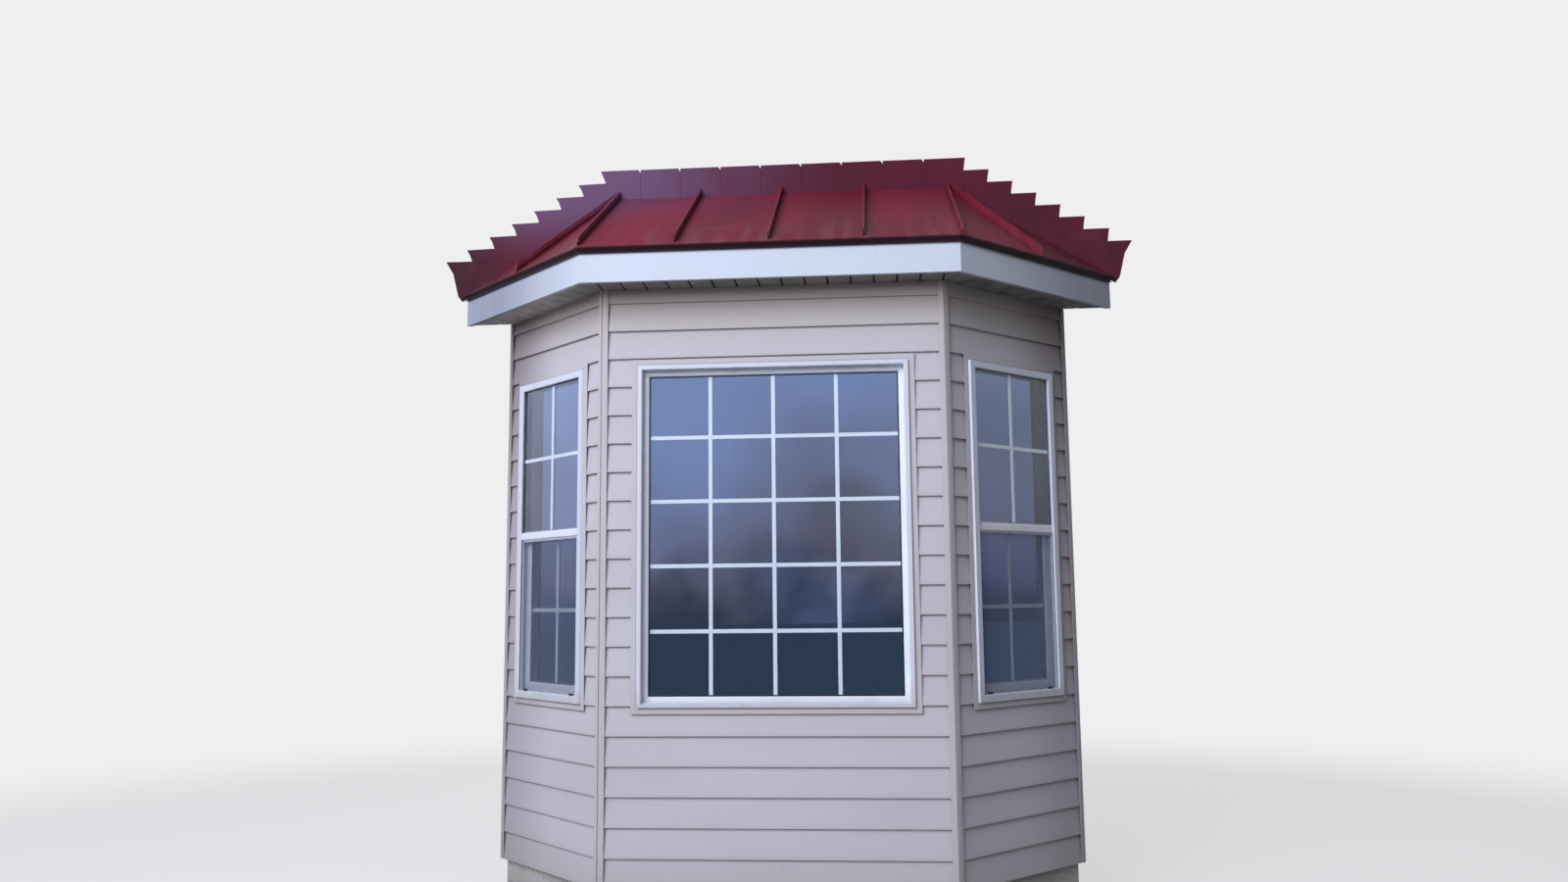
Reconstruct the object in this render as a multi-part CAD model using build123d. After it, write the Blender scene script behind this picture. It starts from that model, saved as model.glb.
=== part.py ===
from build123d import *
import math
import os

# Canted bay window of a house, as built: a framed bay on its own foundation, clad in
# vinyl lap siding, with one fixed window in front and a single-hung window in each
# angled side, under a hipped standing-seam metal roof that ends in stepped flashing.
# Millimetres. X runs along the house wall, Y goes into the house and Z up from the
# ground. The origin is on the ground, in the middle of the bay's plan.

# Plan of the siding face
FRONT_WIDTH = 1524.0
PROJECTION = 610.0
FLANK_ANGLE = 45.0
CLEARANCE = 0.3

# Foundation, floor and ceiling
FOUNDATION_HEIGHT = 300.0
FOUNDATION_THICKNESS = 200.0
FOUNDATION_SETBACK = 8.0
JOIST_WIDTH = 38.0
JOIST_DEPTH = 140.0
JOIST_SPACING = 406.0
FLOOR_THICKNESS = 19.0
CEILING_DROP = 90.0
CEILING_THICKNESS = 13.0
CEILING_JOIST_DEPTH = 89.0

# Framed walls
WALL_THICKNESS = 114.0

# Lap siding, channels and corner posts
SIDING_DEPTH = 14.0
SIDING_SHEET = 1.5
LAP_EXPOSURE = 127.0
TOP_LAP_DROP = 61.0
FOUNDATION_COVER = 51.0
CHANNEL_FACE = 27.0
CHANNEL_GROOVE = 6.0
CHANNEL_STEP = 3.0
CHANNEL_DEPTH = 17.0
CHANNEL_SHEET = 1.5
CHANNEL_HEM = 2.6
WALL_CHANNEL_FACE = 26.0
SIDING_TUCK = 8.0
POST_FACE = 27.0
POST_DEPTH = 19.0
POST_CORE = 9.0
POST_GROOVE = 7.0
HEM = 3.0

# Windows
FRONT_WINDOW_WIDTH = 1197.0
FRONT_WINDOW_HEIGHT = 1495.0
FRONT_SILL = 1005.0
FLANK_WINDOW_WIDTH = 588.0
FLANK_WINDOW_HEIGHT = 1500.0
FLANK_SILL = 1012.0
FLANK_WINDOW_FROM_CORNER = 151.0
FRAME_FACE = 20.0
FRAME_PROUD = 28.0
FRAME_DEPTH = 104.0
FRONT_STILE = 23.0
UPPER_BEAD = 8.0
LOWER_STILE = 38.0
MEETING_RAIL = 32.0
MEETING_RISE = 12.0
BOTTOM_RAIL = 51.0
SASH_THICKNESS = 30.0
FRONT_SASH_BACK = 16.0
UPPER_SASH_BACK = -19.0
LOWER_SASH_BACK = 18.0
BEAD_EDGE = 1.5
BEAD_SLOPE = 7.0
FLANGE_BEVEL = 3.0
FLANGE_FACE = 32.0
FLANGE_THICKNESS = 8.0
SILL_FALL = 7.0
STOP_FACE = 5.0
STOP_SHEET = 2.4
PANE = 3.0
GLASS_UNIT = 18.0
GLASS_BITE = 6.0
SCREEN_FACE = 13.0
SCREEN_THICKNESS = 8.0
SCREEN_BACK = -12.0
STOOL_THICKNESS = 20.0
STOOL_NOSE = 30.0
STOOL_HORN = 50.0

# Eaves
SOFFIT_LEVEL = 2850.0
SOFFIT_THICKNESS = 12.0
SOFFIT_PITCH = 101.6
SOFFIT_GROOVE = 12.0
SOFFIT_GROOVE_DEPTH = 9.0
OVERHANG = 165.0
FASCIA_THICKNESS = 20.0
FASCIA_DROP = 4.0
FASCIA_HEIGHT = 146.0
SUBFASCIA_THICKNESS = 38.0

# Roof; its sheets fold down and back under the eave, then kick out to drip
ROOF_RISE = 480.0
RIDGE_HALF = 824.0
EDGE_RISE = 12.0
EDGE_STANDOFF = 17.5
EDGE_DROP = 18.0
EDGE_UNDERCUT = 14.0
EDGE_FOLD = 2.6
DRIP_FALL = 12.0
DRIP_KICK = 6.0
DECK_THICKNESS = 12.0
RAFTER_WIDTH = 38.0
RAFTER_DEPTH = 89.0
LEDGER_DEPTH = 140.0
PAN_SHEET = 2.0
PAN_COUNT = 4
SEAM_HEIGHT = 36.0
SEAM_WIDTH = 12.0

# Flashing on the wall, level over the ridge and stepped down each side
FLASHING_SHEET = 2.0
FLASHING_LAP = 2.6
FLASHING_OVERLAP = 40.0
FLASHING_HEIGHT = 152.0
FLASHING_SIDE = 98.0
FLASHING_SHEETS = 9
LAP_NICK = 16.0
NICK_WIDTH = 12.0
STEP_SLANT = {-1: 27.0, 1: 9.0}
STEP_DROOP = {-1: 5.0, 1: 0.0}
STEP_HOOK = 0.6
STEP_RISE = 64.5
STEP_RUN = 115.0
STEP_COUNT = 7
FLASHING_TAIL = 107.0
TAIL_CORNER = (38.0, 64.0)
TAIL_FOOT = 66.0
FLASHING_TUCK = 30.0

ANGLE = math.radians(FLANK_ANGLE)
SIDES = ("left", "front", "right")
CEILING_LEVEL = SOFFIT_LEVEL - CEILING_DROP
TOP_LAP = SOFFIT_LEVEL - TOP_LAP_DROP
LAP_COUNT = round((TOP_LAP - FOUNDATION_HEIGHT + FOUNDATION_COVER) / LAP_EXPOSURE)
SIDING_FOOT = TOP_LAP - LAP_EXPOSURE * LAP_COUNT
FASCIA_BASE = SOFFIT_LEVEL - FASCIA_DROP
FASCIA_TOP = FASCIA_BASE + FASCIA_HEIGHT
EAVE_LEVEL = FASCIA_TOP + EDGE_RISE
RIDGE_LEVEL = EAVE_LEVEL + ROOF_RISE
SHEATHING = -SIDING_DEPTH
INSIDE = SHEATHING - WALL_THICKNESS
EAVE_OFFSET = OVERHANG + EDGE_STANDOFF
TOTAL_DEPTH = PROJECTION + EAVE_OFFSET
FLASHING_DEPTH = FLASHING_SHEET + FLASHING_LAP
ROOF_BACK = -(FLASHING_DEPTH + CLEARANCE)
FLASHING_HALF = RIDGE_HALF + FLASHING_SIDE
FLASHING_TOP = RIDGE_LEVEL + FLASHING_HEIGHT
TALL = 6000.0


def outline(offset):
    """Four plan corners of the bay at an offset from the siding face, left to right."""
    corner_x = FRONT_WIDTH / 2 + offset * math.tan(ANGLE / 2)
    wall_x = FRONT_WIDTH / 2 + PROJECTION / math.tan(ANGLE) + offset / math.sin(ANGLE)
    front_y = -(PROJECTION + offset)
    return [(-wall_x, 0), (-corner_x, front_y), (corner_x, front_y), (wall_x, 0)]


def block(x0, x1, y0, y1, z0, z1):
    """Rectangular block between two opposite corners."""
    middle = Pos((x0 + x1) / 2, (y0 + y1) / 2, (z0 + z1) / 2)
    return middle * Box(x1 - x0, y1 - y0, z1 - z0)


def prism(points, z0, z1):
    """Upright prism over a plan outline."""
    return Pos(0, 0, z0) * extrude(Polygon(*points, align=None), z1 - z0, dir=(0, 0, 1))


def band(side, inner, outer, z0, z1):
    """One side of the bay between two offsets, mitred at the front corners."""
    i = SIDES.index(side)
    a = outline(inner)
    b = outline(outer)
    return prism([a[i], a[i + 1], b[i + 1], b[i]], z0, z1)


def room(offset, z0, z1):
    """Everything of the bay's plan inside an offset, back to the wall plane."""
    return prism(outline(offset), z0, z1)


def ring(width, height, face, y0, y1, base):
    """Upright rectangular frame with one face width all round."""
    outer = block(-width / 2, width / 2, y0, y1, base, base + height)
    half = width / 2 - face
    hole = block(-half, half, y0 - 1, y1 + 1, base + face, base + height - face)
    return outer - hole


def in_front(y):
    """Everything on the street side of a line along the house wall."""
    return block(-TALL, TALL, -TALL, y, 0, TALL)


def mitre(sign, width):
    """Cutter along the plan line where two sides meet at a front corner."""
    i = 2 if sign > 0 else 1
    line = strip(outline(INSIDE)[i], outline(2 * EAVE_OFFSET)[i], width)
    return prism(line, 0, TALL)


def window_place(side):
    """Where a window stands: its middle on the sheathing, turned to face outwards."""
    if side == "front":
        return Pos(0, -(PROJECTION + SHEATHING), 0)
    sign = -1 if side == "left" else 1
    along = FLANK_WINDOW_FROM_CORNER + FLANK_WINDOW_WIDTH / 2
    x = FRONT_WIDTH / 2 + along * math.cos(ANGLE) + SHEATHING * math.sin(ANGLE)
    y = -PROJECTION + along * math.sin(ANGLE) - SHEATHING * math.cos(ANGLE)
    return Pos(sign * x, y, 0) * Rot(0, 0, sign * FLANK_ANGLE)


def window_size(side):
    """Width, height and sill level of a side's window."""
    if side == "front":
        return FRONT_WINDOW_WIDTH, FRONT_WINDOW_HEIGHT, FRONT_SILL
    return FLANK_WINDOW_WIDTH, FLANK_WINDOW_HEIGHT, FLANK_SILL


def window_hole(side, margin):
    """The cutter for a window's opening, larger than its frame by a margin."""
    width, height, sill = window_size(side)
    half = width / 2 + margin
    cutter = block(-half, half, INSIDE - 1, -INSIDE + 1, sill - margin, sill + height + margin)
    return window_place(side) * cutter


def foundation():
    """Poured wall under the three sides, open to the house behind."""
    outer = SHEATHING - FOUNDATION_SETBACK
    solid = room(outer, 0, FOUNDATION_HEIGHT)
    hollow = room(outer - FOUNDATION_THICKNESS, -1, FOUNDATION_HEIGHT + 1)
    return solid - Pos(0, 1, 0) * hollow - hollow


def joists(z0, depth):
    """Boards on edge across the bay, from its walls to the wall plane."""
    limit = room(INSIDE - CLEARANCE, z0, z0 + depth)
    count = int((outline(INSIDE)[3][0] - JOIST_WIDTH) // JOIST_SPACING)
    boards = Part()
    for i in range(-count, count + 1):
        x = i * JOIST_SPACING
        boards += block(x - JOIST_WIDTH / 2, x + JOIST_WIDTH / 2, -PROJECTION, 0, z0, z0 + depth)
    return boards & limit


def wall(side, top):
    """Framed wall with its window opening cut through."""
    body = band(side, INSIDE, SHEATHING, FOUNDATION_HEIGHT, top)
    return body - window_hole(side, CLEARANCE)


def siding(side):
    """Bent lap sheets from the starter to the soffit, cut round the window."""
    high = SOFFIT_LEVEL - CLEARANCE
    face = []
    for k in range(LAP_COUNT + 1):
        z = SIDING_FOOT + k * LAP_EXPOSURE
        if k:
            face.append((-SIDING_SHEET, z))
        face.append((-SIDING_DEPTH, z))
    rest = (high - face[-1][1]) / LAP_EXPOSURE
    face.append((-SIDING_DEPTH + rest * (SIDING_DEPTH - SIDING_SHEET), high))
    back = [(y + SIDING_SHEET, z + SIDING_SHEET) for y, z in face[:-1]]
    back.append((face[-1][0] + SIDING_SHEET, high))
    profile = Plane.YZ * Polygon(*face, *reversed(back), align=None)
    sheet = extrude(profile, TALL, both=True)
    body = (window_place(side) * sheet) & band(side, SHEATHING, 0, 0, TALL)
    for sign in (-1, 1):
        body -= post_core(sign, POST_CORE + CLEARANCE * 2)
    body &= in_front(-(CHANNEL_SHEET + CLEARANCE))
    return body - window_hole(side, SIDING_TUCK)


def corner_frame(sign):
    """Plan corner on the siding face and the two directions away from it."""
    corner = Vector(sign * FRONT_WIDTH / 2, -PROJECTION)
    along_front = Vector(-sign, 0)
    along_flank = Vector(sign * math.cos(ANGLE), math.sin(ANGLE))
    return corner, along_front, along_flank


def corner_wedge(sign, inner, outer, length):
    """Bent strip round a front corner between two offsets, with a length each way."""
    _, along_front, along_flank = corner_frame(sign)
    i = 2 if sign > 0 else 1
    a = Vector(*outline(inner)[i])
    b = Vector(*outline(outer)[i])
    points = [a, a + along_front * length, b + along_front * length, b]
    points += [b + along_flank * length, a + along_flank * length]
    return [(p.X, p.Y) for p in points]


def post_core(sign, length):
    """The post's inner web, which the siding stops short of."""
    return prism(corner_wedge(sign, SHEATHING, SHEATHING + POST_DEPTH, length), 0, TALL)


def corner_post(sign):
    """Outside corner post: two faces over the siding's ends, and a web to the wall."""
    face = SHEATHING + POST_DEPTH
    span = (SIDING_FOOT, SOFFIT_LEVEL - CLEARANCE)
    skin = prism(corner_wedge(sign, face - SIDING_SHEET, face, POST_FACE), *span)
    hem = prism(corner_wedge(sign, face - HEM, face, POST_FACE), *span)
    skin += hem - prism(corner_wedge(sign, face - 2 * HEM, face, POST_FACE - SIDING_SHEET), *span)
    core = prism(corner_wedge(sign, SHEATHING, face, POST_CORE), *span)
    i = 2 if sign > 0 else 1
    x, y = outline(face)[i]
    groove = Pos(x, y, 0) * Rot(0, 0, sign * FLANK_ANGLE / 2)
    groove *= block(-POST_GROOVE / 2, POST_GROOVE / 2, -POST_GROOVE, POST_GROOVE, 0, TALL)
    return skin + core - groove


def window_channel(side):
    """Channel round a window frame that covers the siding's cut ends."""
    width, height, sill = window_size(side)
    w = width + 2 * CLEARANCE
    h = height + 2 * CLEARANCE
    base = sill - CLEARANCE
    front = -CHANNEL_DEPTH
    step = front + CHANNEL_STEP
    edge = CHANNEL_SHEET

    def strip_round(inner, outer, y0, y1):
        return ring(w + 2 * outer, h + 2 * outer, outer - inner, y0, y1, base - outer)

    web = strip_round(0, edge, step, 0)
    web += strip_round(0, CHANNEL_GROOVE + edge, step, step + edge)
    web += strip_round(CHANNEL_GROOVE, CHANNEL_GROOVE + edge, front, step + edge)
    lip = strip_round(CHANNEL_GROOVE, CHANNEL_FACE, front, front + edge)
    lip += strip_round(CHANNEL_FACE - edge, CHANNEL_FACE, front, front + CHANNEL_HEM)
    return window_place(side) * (web + lip)


def wall_channel(side):
    """Channel where a flank meets the house wall."""
    span = (SIDING_FOOT, SOFFIT_LEVEL - CLEARANCE)
    face = SHEATHING + CHANNEL_DEPTH
    depth = WALL_CHANNEL_FACE * math.sin(ANGLE)
    lip = band(side, face - CHANNEL_SHEET, face, *span)
    lip &= block(-TALL, TALL, -depth, 0, 0, TALL)
    web = band(side, SHEATHING, face, *span)
    web &= block(-TALL, TALL, -CHANNEL_SHEET, 0, 0, TALL)
    return lip + web


def window_frame(side):
    """Vinyl frame with its outer flange, and stops beside the sashes."""
    width, height, sill = window_size(side)
    back = FRAME_DEPTH - FRAME_PROUD
    body = ring(width, height, FRAME_FACE, -FRAME_PROUD, back, sill)
    if side == "front":
        face, dam = FRAME_FACE, -FRAME_PROUD - 1
        stops = [(FRONT_SASH_BACK + SASH_THICKNESS + CLEARANCE, back)]
    else:
        face, dam = FLANGE_FACE, -FRAME_PROUD + FLANGE_THICKNESS
        body += ring(width, height, face, -FRAME_PROUD, dam, sill)
        parting = UPPER_SASH_BACK + SASH_THICKNESS + CLEARANCE
        inner = LOWER_SASH_BACK + SASH_THICKNESS + CLEARANCE
        stops = [(parting, parting + STOP_SHEET), (inner, back)]
    for y0, y1 in stops:
        body += ring(width, height, FRAME_FACE + STOP_FACE, y0, y1, sill)
    body -= bevel(width - 2 * face, height - 2 * face, -FRAME_PROUD, FLANGE_BEVEL,
                  FLANGE_BEVEL, sill + height / 2)
    lip = sill + FRAME_FACE
    fall = [(dam, lip + 1), (0, lip + 1), (0, lip), (dam, lip - SILL_FALL)]
    body -= extrude(Plane.YZ * Polygon(*fall, align=None), width / 2 - FRAME_FACE, both=True)
    return window_place(side) * body


def bevel(width, height, front, depth, spread, middle):
    """Cutter that slopes the edges of a rectangular hole, wider towards the street."""
    looking = dict(x_dir=(1, 0, 0), z_dir=(0, -1, 0))
    mouth = Plane(origin=(0, front, middle), **looking)
    throat = Plane(origin=(0, front + depth, middle), **looking)
    return loft([mouth * Rectangle(width + 2 * spread, height + 2 * spread),
                 throat * Rectangle(width, height)])


def sash(width, z0, z1, back, stile, low_rail, high_rail):
    """Sash rails and stiles with the slot that holds the glass, and its two panes."""
    y0 = back
    y1 = back + SASH_THICKNESS
    middle = (y0 + y1) / 2
    half = width / 2 - stile
    rails = block(-width / 2, width / 2, y0, y1, z0, z1)
    rails -= block(-half, half, y0 - 1, y1 + 1, z0 + low_rail, z1 - high_rail)
    bite = GLASS_BITE + CLEARANCE
    slot = GLASS_UNIT / 2 + CLEARANCE
    low = z0 + low_rail
    high = z1 - high_rail
    bead = middle - slot - BEAD_EDGE - y0
    rails -= bevel(2 * half, high - low, y0, bead, BEAD_SLOPE, (low + high) / 2)
    rails -= block(-half - bite, half + bite, middle - slot, middle + slot, low - bite, high + bite)
    panes = Part()
    for y in (middle - GLASS_UNIT / 2, middle + GLASS_UNIT / 2 - PANE):
        panes += block(-half - GLASS_BITE, half + GLASS_BITE, y, y + PANE,
                       low - GLASS_BITE, high + GLASS_BITE)
    return rails, panes


def front_lights():
    """The fixed sash of the front window and its glass."""
    width, height, sill = window_size("front")
    inset = FRAME_FACE + CLEARANCE
    rails, panes = sash(width - 2 * inset, sill + inset, sill + height - inset,
                        FRONT_SASH_BACK, FRONT_STILE, FRONT_STILE, FRONT_STILE)
    place = window_place("front")
    return place * rails, place * panes


def flank_lights(side):
    """Beaded upper light and sliding lower sash, their glass and the half screen."""
    width, height, sill = window_size(side)
    inset = FRAME_FACE + CLEARANCE
    inner = width - 2 * inset
    low = sill + inset
    high = sill + height - inset
    middle = (low + high) / 2 + MEETING_RISE
    rail = MEETING_RAIL / 2
    upper, upper_glass = sash(inner, middle - rail, high, UPPER_SASH_BACK,
                              UPPER_BEAD, MEETING_RAIL, UPPER_BEAD)
    lower, lower_glass = sash(inner, low, middle + rail, LOWER_SASH_BACK,
                              LOWER_STILE, BOTTOM_RAIL, MEETING_RAIL)
    screen = ring(inner, middle - rail - CLEARANCE - low, SCREEN_FACE, SCREEN_BACK,
                  SCREEN_BACK + SCREEN_THICKNESS, low)
    place = window_place(side)
    return place * upper, place * lower, place * (upper_glass + lower_glass), place * screen


def stool(side):
    """Inside sill board on the bottom of the opening, with its nose and horns."""
    width, _, sill = window_size(side)
    y0 = FRAME_DEPTH - FRAME_PROUD + CLEARANCE
    y1 = WALL_THICKNESS
    base = sill - CLEARANCE
    board = block(-width / 2, width / 2, y0, y1 + 1, base, base + STOOL_THICKNESS)
    half = width / 2 + STOOL_HORN
    nose = block(-half, half, y1 + CLEARANCE, y1 + STOOL_NOSE, base, base + STOOL_THICKNESS)
    return (window_place(side) * (board + nose)) & in_front(0)


def soffit(side):
    """Grooved soffit panels from the wall to behind the fascia."""
    reach = outline(OVERHANG)[3][0]
    count = int(reach // SOFFIT_PITCH)
    panel = block(-reach, reach, -reach, reach, SOFFIT_LEVEL, SOFFIT_LEVEL + SOFFIT_THICKNESS)
    half = SOFFIT_GROOVE / 2
    for i in range(-count, count + 1):
        x = (i + 0.5) * SOFFIT_PITCH
        notch = [(x - half, SOFFIT_LEVEL - 1), (x + half, SOFFIT_LEVEL - 1)]
        notch += [(x, SOFFIT_LEVEL + SOFFIT_GROOVE_DEPTH)]
        panel -= extrude(Plane.XZ * Polygon(*notch, align=None), reach + 1, both=True)
    outer = OVERHANG - FASCIA_THICKNESS - CLEARANCE
    limit = band(side, SHEATHING + CLEARANCE, outer, 0, TALL) & in_front(ROOF_BACK)
    return ((window_place(side) * panel) & limit) - mitre(-1, CLEARANCE) - mitre(1, CLEARANCE)


def fascia(side):
    """Wrapped fascia board along one eave."""
    board = band(side, OVERHANG - FASCIA_THICKNESS, OVERHANG, FASCIA_BASE, FASCIA_TOP)
    return board & in_front(ROOF_BACK)


def roof_plane(side):
    """Plane of the deck's top on one side, X along the eave and Y up the slope."""
    eave = outline(EAVE_OFFSET)
    i = SIDES.index(side)
    start = Vector(*eave[i], EAVE_LEVEL)
    end = Vector(*eave[i + 1], EAVE_LEVEL)
    apex_x = -RIDGE_HALF if side != "right" else RIDGE_HALF
    apex = Vector(apex_x, 0, RIDGE_LEVEL)
    along = (end - start).normalized()
    normal = along.cross(apex - start).normalized()
    return Plane(origin=start, x_dir=along, z_dir=normal)


def roof_plan(side, gap):
    """Plan outline of one roof side at the eave, short of its hips by a gap."""
    corner_x, corner_y = outline(EAVE_OFFSET)[2]
    ridge_x = corner_x + (RIDGE_HALF - corner_x) * (ROOF_BACK - corner_y) / -corner_y
    if side == "front":
        return [(-corner_x + gap, corner_y), (corner_x - gap, corner_y),
                (ridge_x - gap, ROOF_BACK), (-ridge_x + gap, ROOF_BACK)]
    wall_x = outline(EAVE_OFFSET)[3][0] + ROOF_BACK / math.tan(ANGLE)
    sign = -1 if side == "left" else 1
    return [(sign * (corner_x + gap), corner_y), (sign * wall_x, ROOF_BACK),
            (sign * (ridge_x + gap), ROOF_BACK)]


def slab(side, n0, n1):
    """Endless plate parallel to a roof side between two heights over its plane."""
    return roof_plane(side) * (Pos(0, 0, (n0 + n1) / 2) * Box(2 * TALL, 2 * TALL, n1 - n0))


def roof_deck(side):
    """Plywood under one side of the roof."""
    plan = prism(roof_plan(side, CLEARANCE / 2), 0, TALL)
    return plan & slab(side, -DECK_THICKNESS, 0) & room(OVERHANG, 0, TALL)


def under_roof(solid):
    """Trims framing to the underside of the deck on all three sides."""
    for side in SIDES:
        solid &= slab(side, -TALL, -DECK_THICKNESS - CLEARANCE)
    return solid


def strip(start, end, width):
    """Plan outline of a straight strip along a line."""
    a = Vector(*start)
    b = Vector(*end)
    d = (b - a).normalized()
    n = Vector(-d.Y, d.X) * (width / 2)
    return [((a + n).X, (a + n).Y), ((b + n).X, (b + n).Y), ((b - n).X, (b - n).Y),
            ((a - n).X, (a - n).Y)]


def roof_framing():
    """Ledgers on the wall, rafters under every seam and the board behind the fascia."""
    outer = OVERHANG - FASCIA_THICKNESS - CLEARANCE
    inner = outer - SUBFASCIA_THICKNESS
    base = SOFFIT_LEVEL + SOFFIT_THICKNESS + CLEARANCE
    low = -DECK_THICKNESS - RAFTER_DEPTH
    frame = Part()
    for side in SIDES:
        frame += band(side, inner, outer, base, RIDGE_LEVEL)
    frame += block(-RIDGE_HALF, RIDGE_HALF, ROOF_BACK - RAFTER_WIDTH, ROOF_BACK,
                   RIDGE_LEVEL - LEDGER_DEPTH, RIDGE_LEVEL)
    front_y = outline(inner + 1)[1][1]
    pitch = 2 * RIDGE_HALF / PAN_COUNT
    for i in range(1, PAN_COUNT):
        x = -RIDGE_HALF + i * pitch
        plan = strip((x, front_y), (x, ROOF_BACK), RAFTER_WIDTH)
        frame += prism(plan, 0, TALL) & slab("front", low, 0)
    for side, sign in (("left", -1), ("right", 1)):
        corner = outline(inner + 1)[2]
        hip = strip((sign * corner[0], corner[1]), (sign * RIDGE_HALF, ROOF_BACK), RAFTER_WIDTH)
        frame += prism(hip, 0, TALL) & slab("front", low, 0)
        foot = seam_foot(sign, inner + 1)
        frame += prism(strip(foot, (sign * RIDGE_HALF, ROOF_BACK), RAFTER_WIDTH), 0, TALL) & slab(
            side, low, 0)
        wall_x = outline(inner + 1)[3][0]
        y = ROOF_BACK - RAFTER_WIDTH / 2
        frame += prism(strip((sign * wall_x, y), (0, y), RAFTER_WIDTH), 0, TALL) & slab(
            side, low, 0)
    frame = under_roof(frame)
    return frame & in_front(ROOF_BACK)


def seam_foot(sign, offset):
    """Where the middle seam of a flank reaches the eave, square to it from the apex."""
    corner = Vector(*outline(offset)[2])
    along = Vector(math.cos(ANGLE), math.sin(ANGLE))
    apex = Vector(RIDGE_HALF, 0)
    foot = corner + along * (apex - corner).dot(along)
    return sign * foot.X, foot.Y


def eave_edge(side):
    """Folded edge of the roof sheets along one eave, down and back, then out to its drip."""
    plane = roof_plane(side)
    outward = plane.x_dir.cross(Vector(0, 0, 1))
    foot = EDGE_DROP + DRIP_FALL
    tip = DRIP_KICK - EDGE_UNDERCUT
    section = [(0, PAN_SHEET / 2), (-EDGE_UNDERCUT, -EDGE_DROP), (tip, -foot)]
    section += [(tip - EDGE_FOLD, -foot), (-EDGE_UNDERCUT - EDGE_FOLD, -EDGE_DROP)]
    section += [(-EDGE_FOLD, PAN_SHEET / 2)]
    profile = Plane(origin=plane.origin, x_dir=outward, z_dir=-plane.x_dir)
    edge = extrude(profile * Polygon(*section, align=None), TALL, both=True)
    edge &= band(side, 0, EAVE_OFFSET + PAN_SHEET, 0, TALL) & in_front(ROOF_BACK)
    return edge - mitre(-1, 2 * CLEARANCE) - mitre(1, 2 * CLEARANCE)


def seam_section(x):
    """A closed double-folded seam, its fold hanging to the right of its leg."""
    t = PAN_SHEET
    fold = x - t + SEAM_WIDTH
    half = SEAM_HEIGHT / 2
    return [(x - t, 0), (x + t, 0), (x + t, half), (fold, half), (fold, SEAM_HEIGHT),
            (x - t, SEAM_HEIGHT)]


def along_slope(side, section):
    """A profile across a roof side, drawn along its eave and run up the whole slope."""
    plane = roof_plane(side)
    across = Plane(origin=plane.origin, x_dir=plane.x_dir, z_dir=-plane.y_dir)
    return extrude(across * Polygon(*section, align=None), TALL / 3, both=True)


def front_pan(i):
    """One roof sheet with a leg at its left and a folded cap over its neighbour's leg."""
    eave_half = outline(EAVE_OFFSET)[2][0]
    pitch = 2 * RIDGE_HALF / PAN_COUNT
    a = -eave_half if i == 0 else -RIDGE_HALF + i * pitch
    b = eave_half if i == PAN_COUNT - 1 else -RIDGE_HALF + (i + 1) * pitch
    t = PAN_SHEET
    reach = SEAM_WIDTH - t - CLEARANCE
    leg = SEAM_HEIGHT - t - CLEARANCE
    left = a + CLEARANCE
    right = b - CLEARANCE
    section = [(left, 0), (right, 0)]
    if i < PAN_COUNT - 1:
        fold = right + reach
        section += [(right, leg + CLEARANCE), (fold - t, leg + CLEARANCE)]
        section += [(fold - t, SEAM_HEIGHT / 2), (fold, SEAM_HEIGHT / 2), (fold, SEAM_HEIGHT)]
        section += [(right - t, SEAM_HEIGHT), (right - t, t)]
    else:
        section += [(right, t)]
    if i:
        section += [(left + t, t), (left + t, leg), (left, leg)]
    else:
        section += [(left, t)]
    section = [(x + eave_half, z) for x, z in section]
    sheet = along_slope("front", section) & prism(roof_plan("front", CLEARANCE), 0, TALL)
    edge = eave_edge("front") & block(left, right, -TALL, 0, 0, TALL)
    return sheet + edge


def flank_pans(side):
    """The two sheets of an angled side with the hip seam and the middle seam."""
    sign = -1 if side == "left" else 1
    sheet = prism(roof_plan(side, CLEARANCE), 0, TALL) & slab(side, 0, PAN_SHEET)
    foot = Vector(*seam_foot(sign, EAVE_OFFSET), EAVE_LEVEL)
    plane = roof_plane(side)
    seam = along_slope(side, seam_section((foot - plane.origin).dot(plane.x_dir)))
    limit = prism(roof_plan(side, SEAM_WIDTH), 0, TALL)
    return sheet + (seam & limit) + eave_edge(side) + hip_cap(side)


def hip_cap(side):
    """Folded seam along a hip: a leg on the angled side and a cap over the front sheet."""
    sign = -1 if side == "left" else 1
    corner_x, corner_y = outline(EAVE_OFFSET)[2]
    line = [(sign * corner_x, corner_y), (sign * RIDGE_HALF, 0)]
    cap = prism(strip(*line, SEAM_WIDTH), 0, TALL) & slab("front", SEAM_HEIGHT / 2, SEAM_HEIGHT)
    leg = prism(strip(*line, 4 * PAN_SHEET), 0, TALL) & prism(roof_plan(side, CLEARANCE), 0, TALL)
    leg &= slab(side, 0, TALL) & slab("front", -TALL, SEAM_HEIGHT)
    return (cap + leg) & block(-TALL, TALL, corner_y, ROOF_BACK, 0, TALL)


def lapped_sheet(points, inner_x, outer_x):
    """Flashing sheet whose front leans out to its outer edge, over the next sheet."""
    sheet = extrude(Plane.XZ * Polygon(*points, align=None), FLASHING_DEPTH, dir=(0, -1, 0))
    plan = [(inner_x, 0), (outer_x, 0), (outer_x, -FLASHING_DEPTH), (inner_x, -FLASHING_SHEET)]
    return sheet & prism(plan, 0, TALL)


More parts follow.
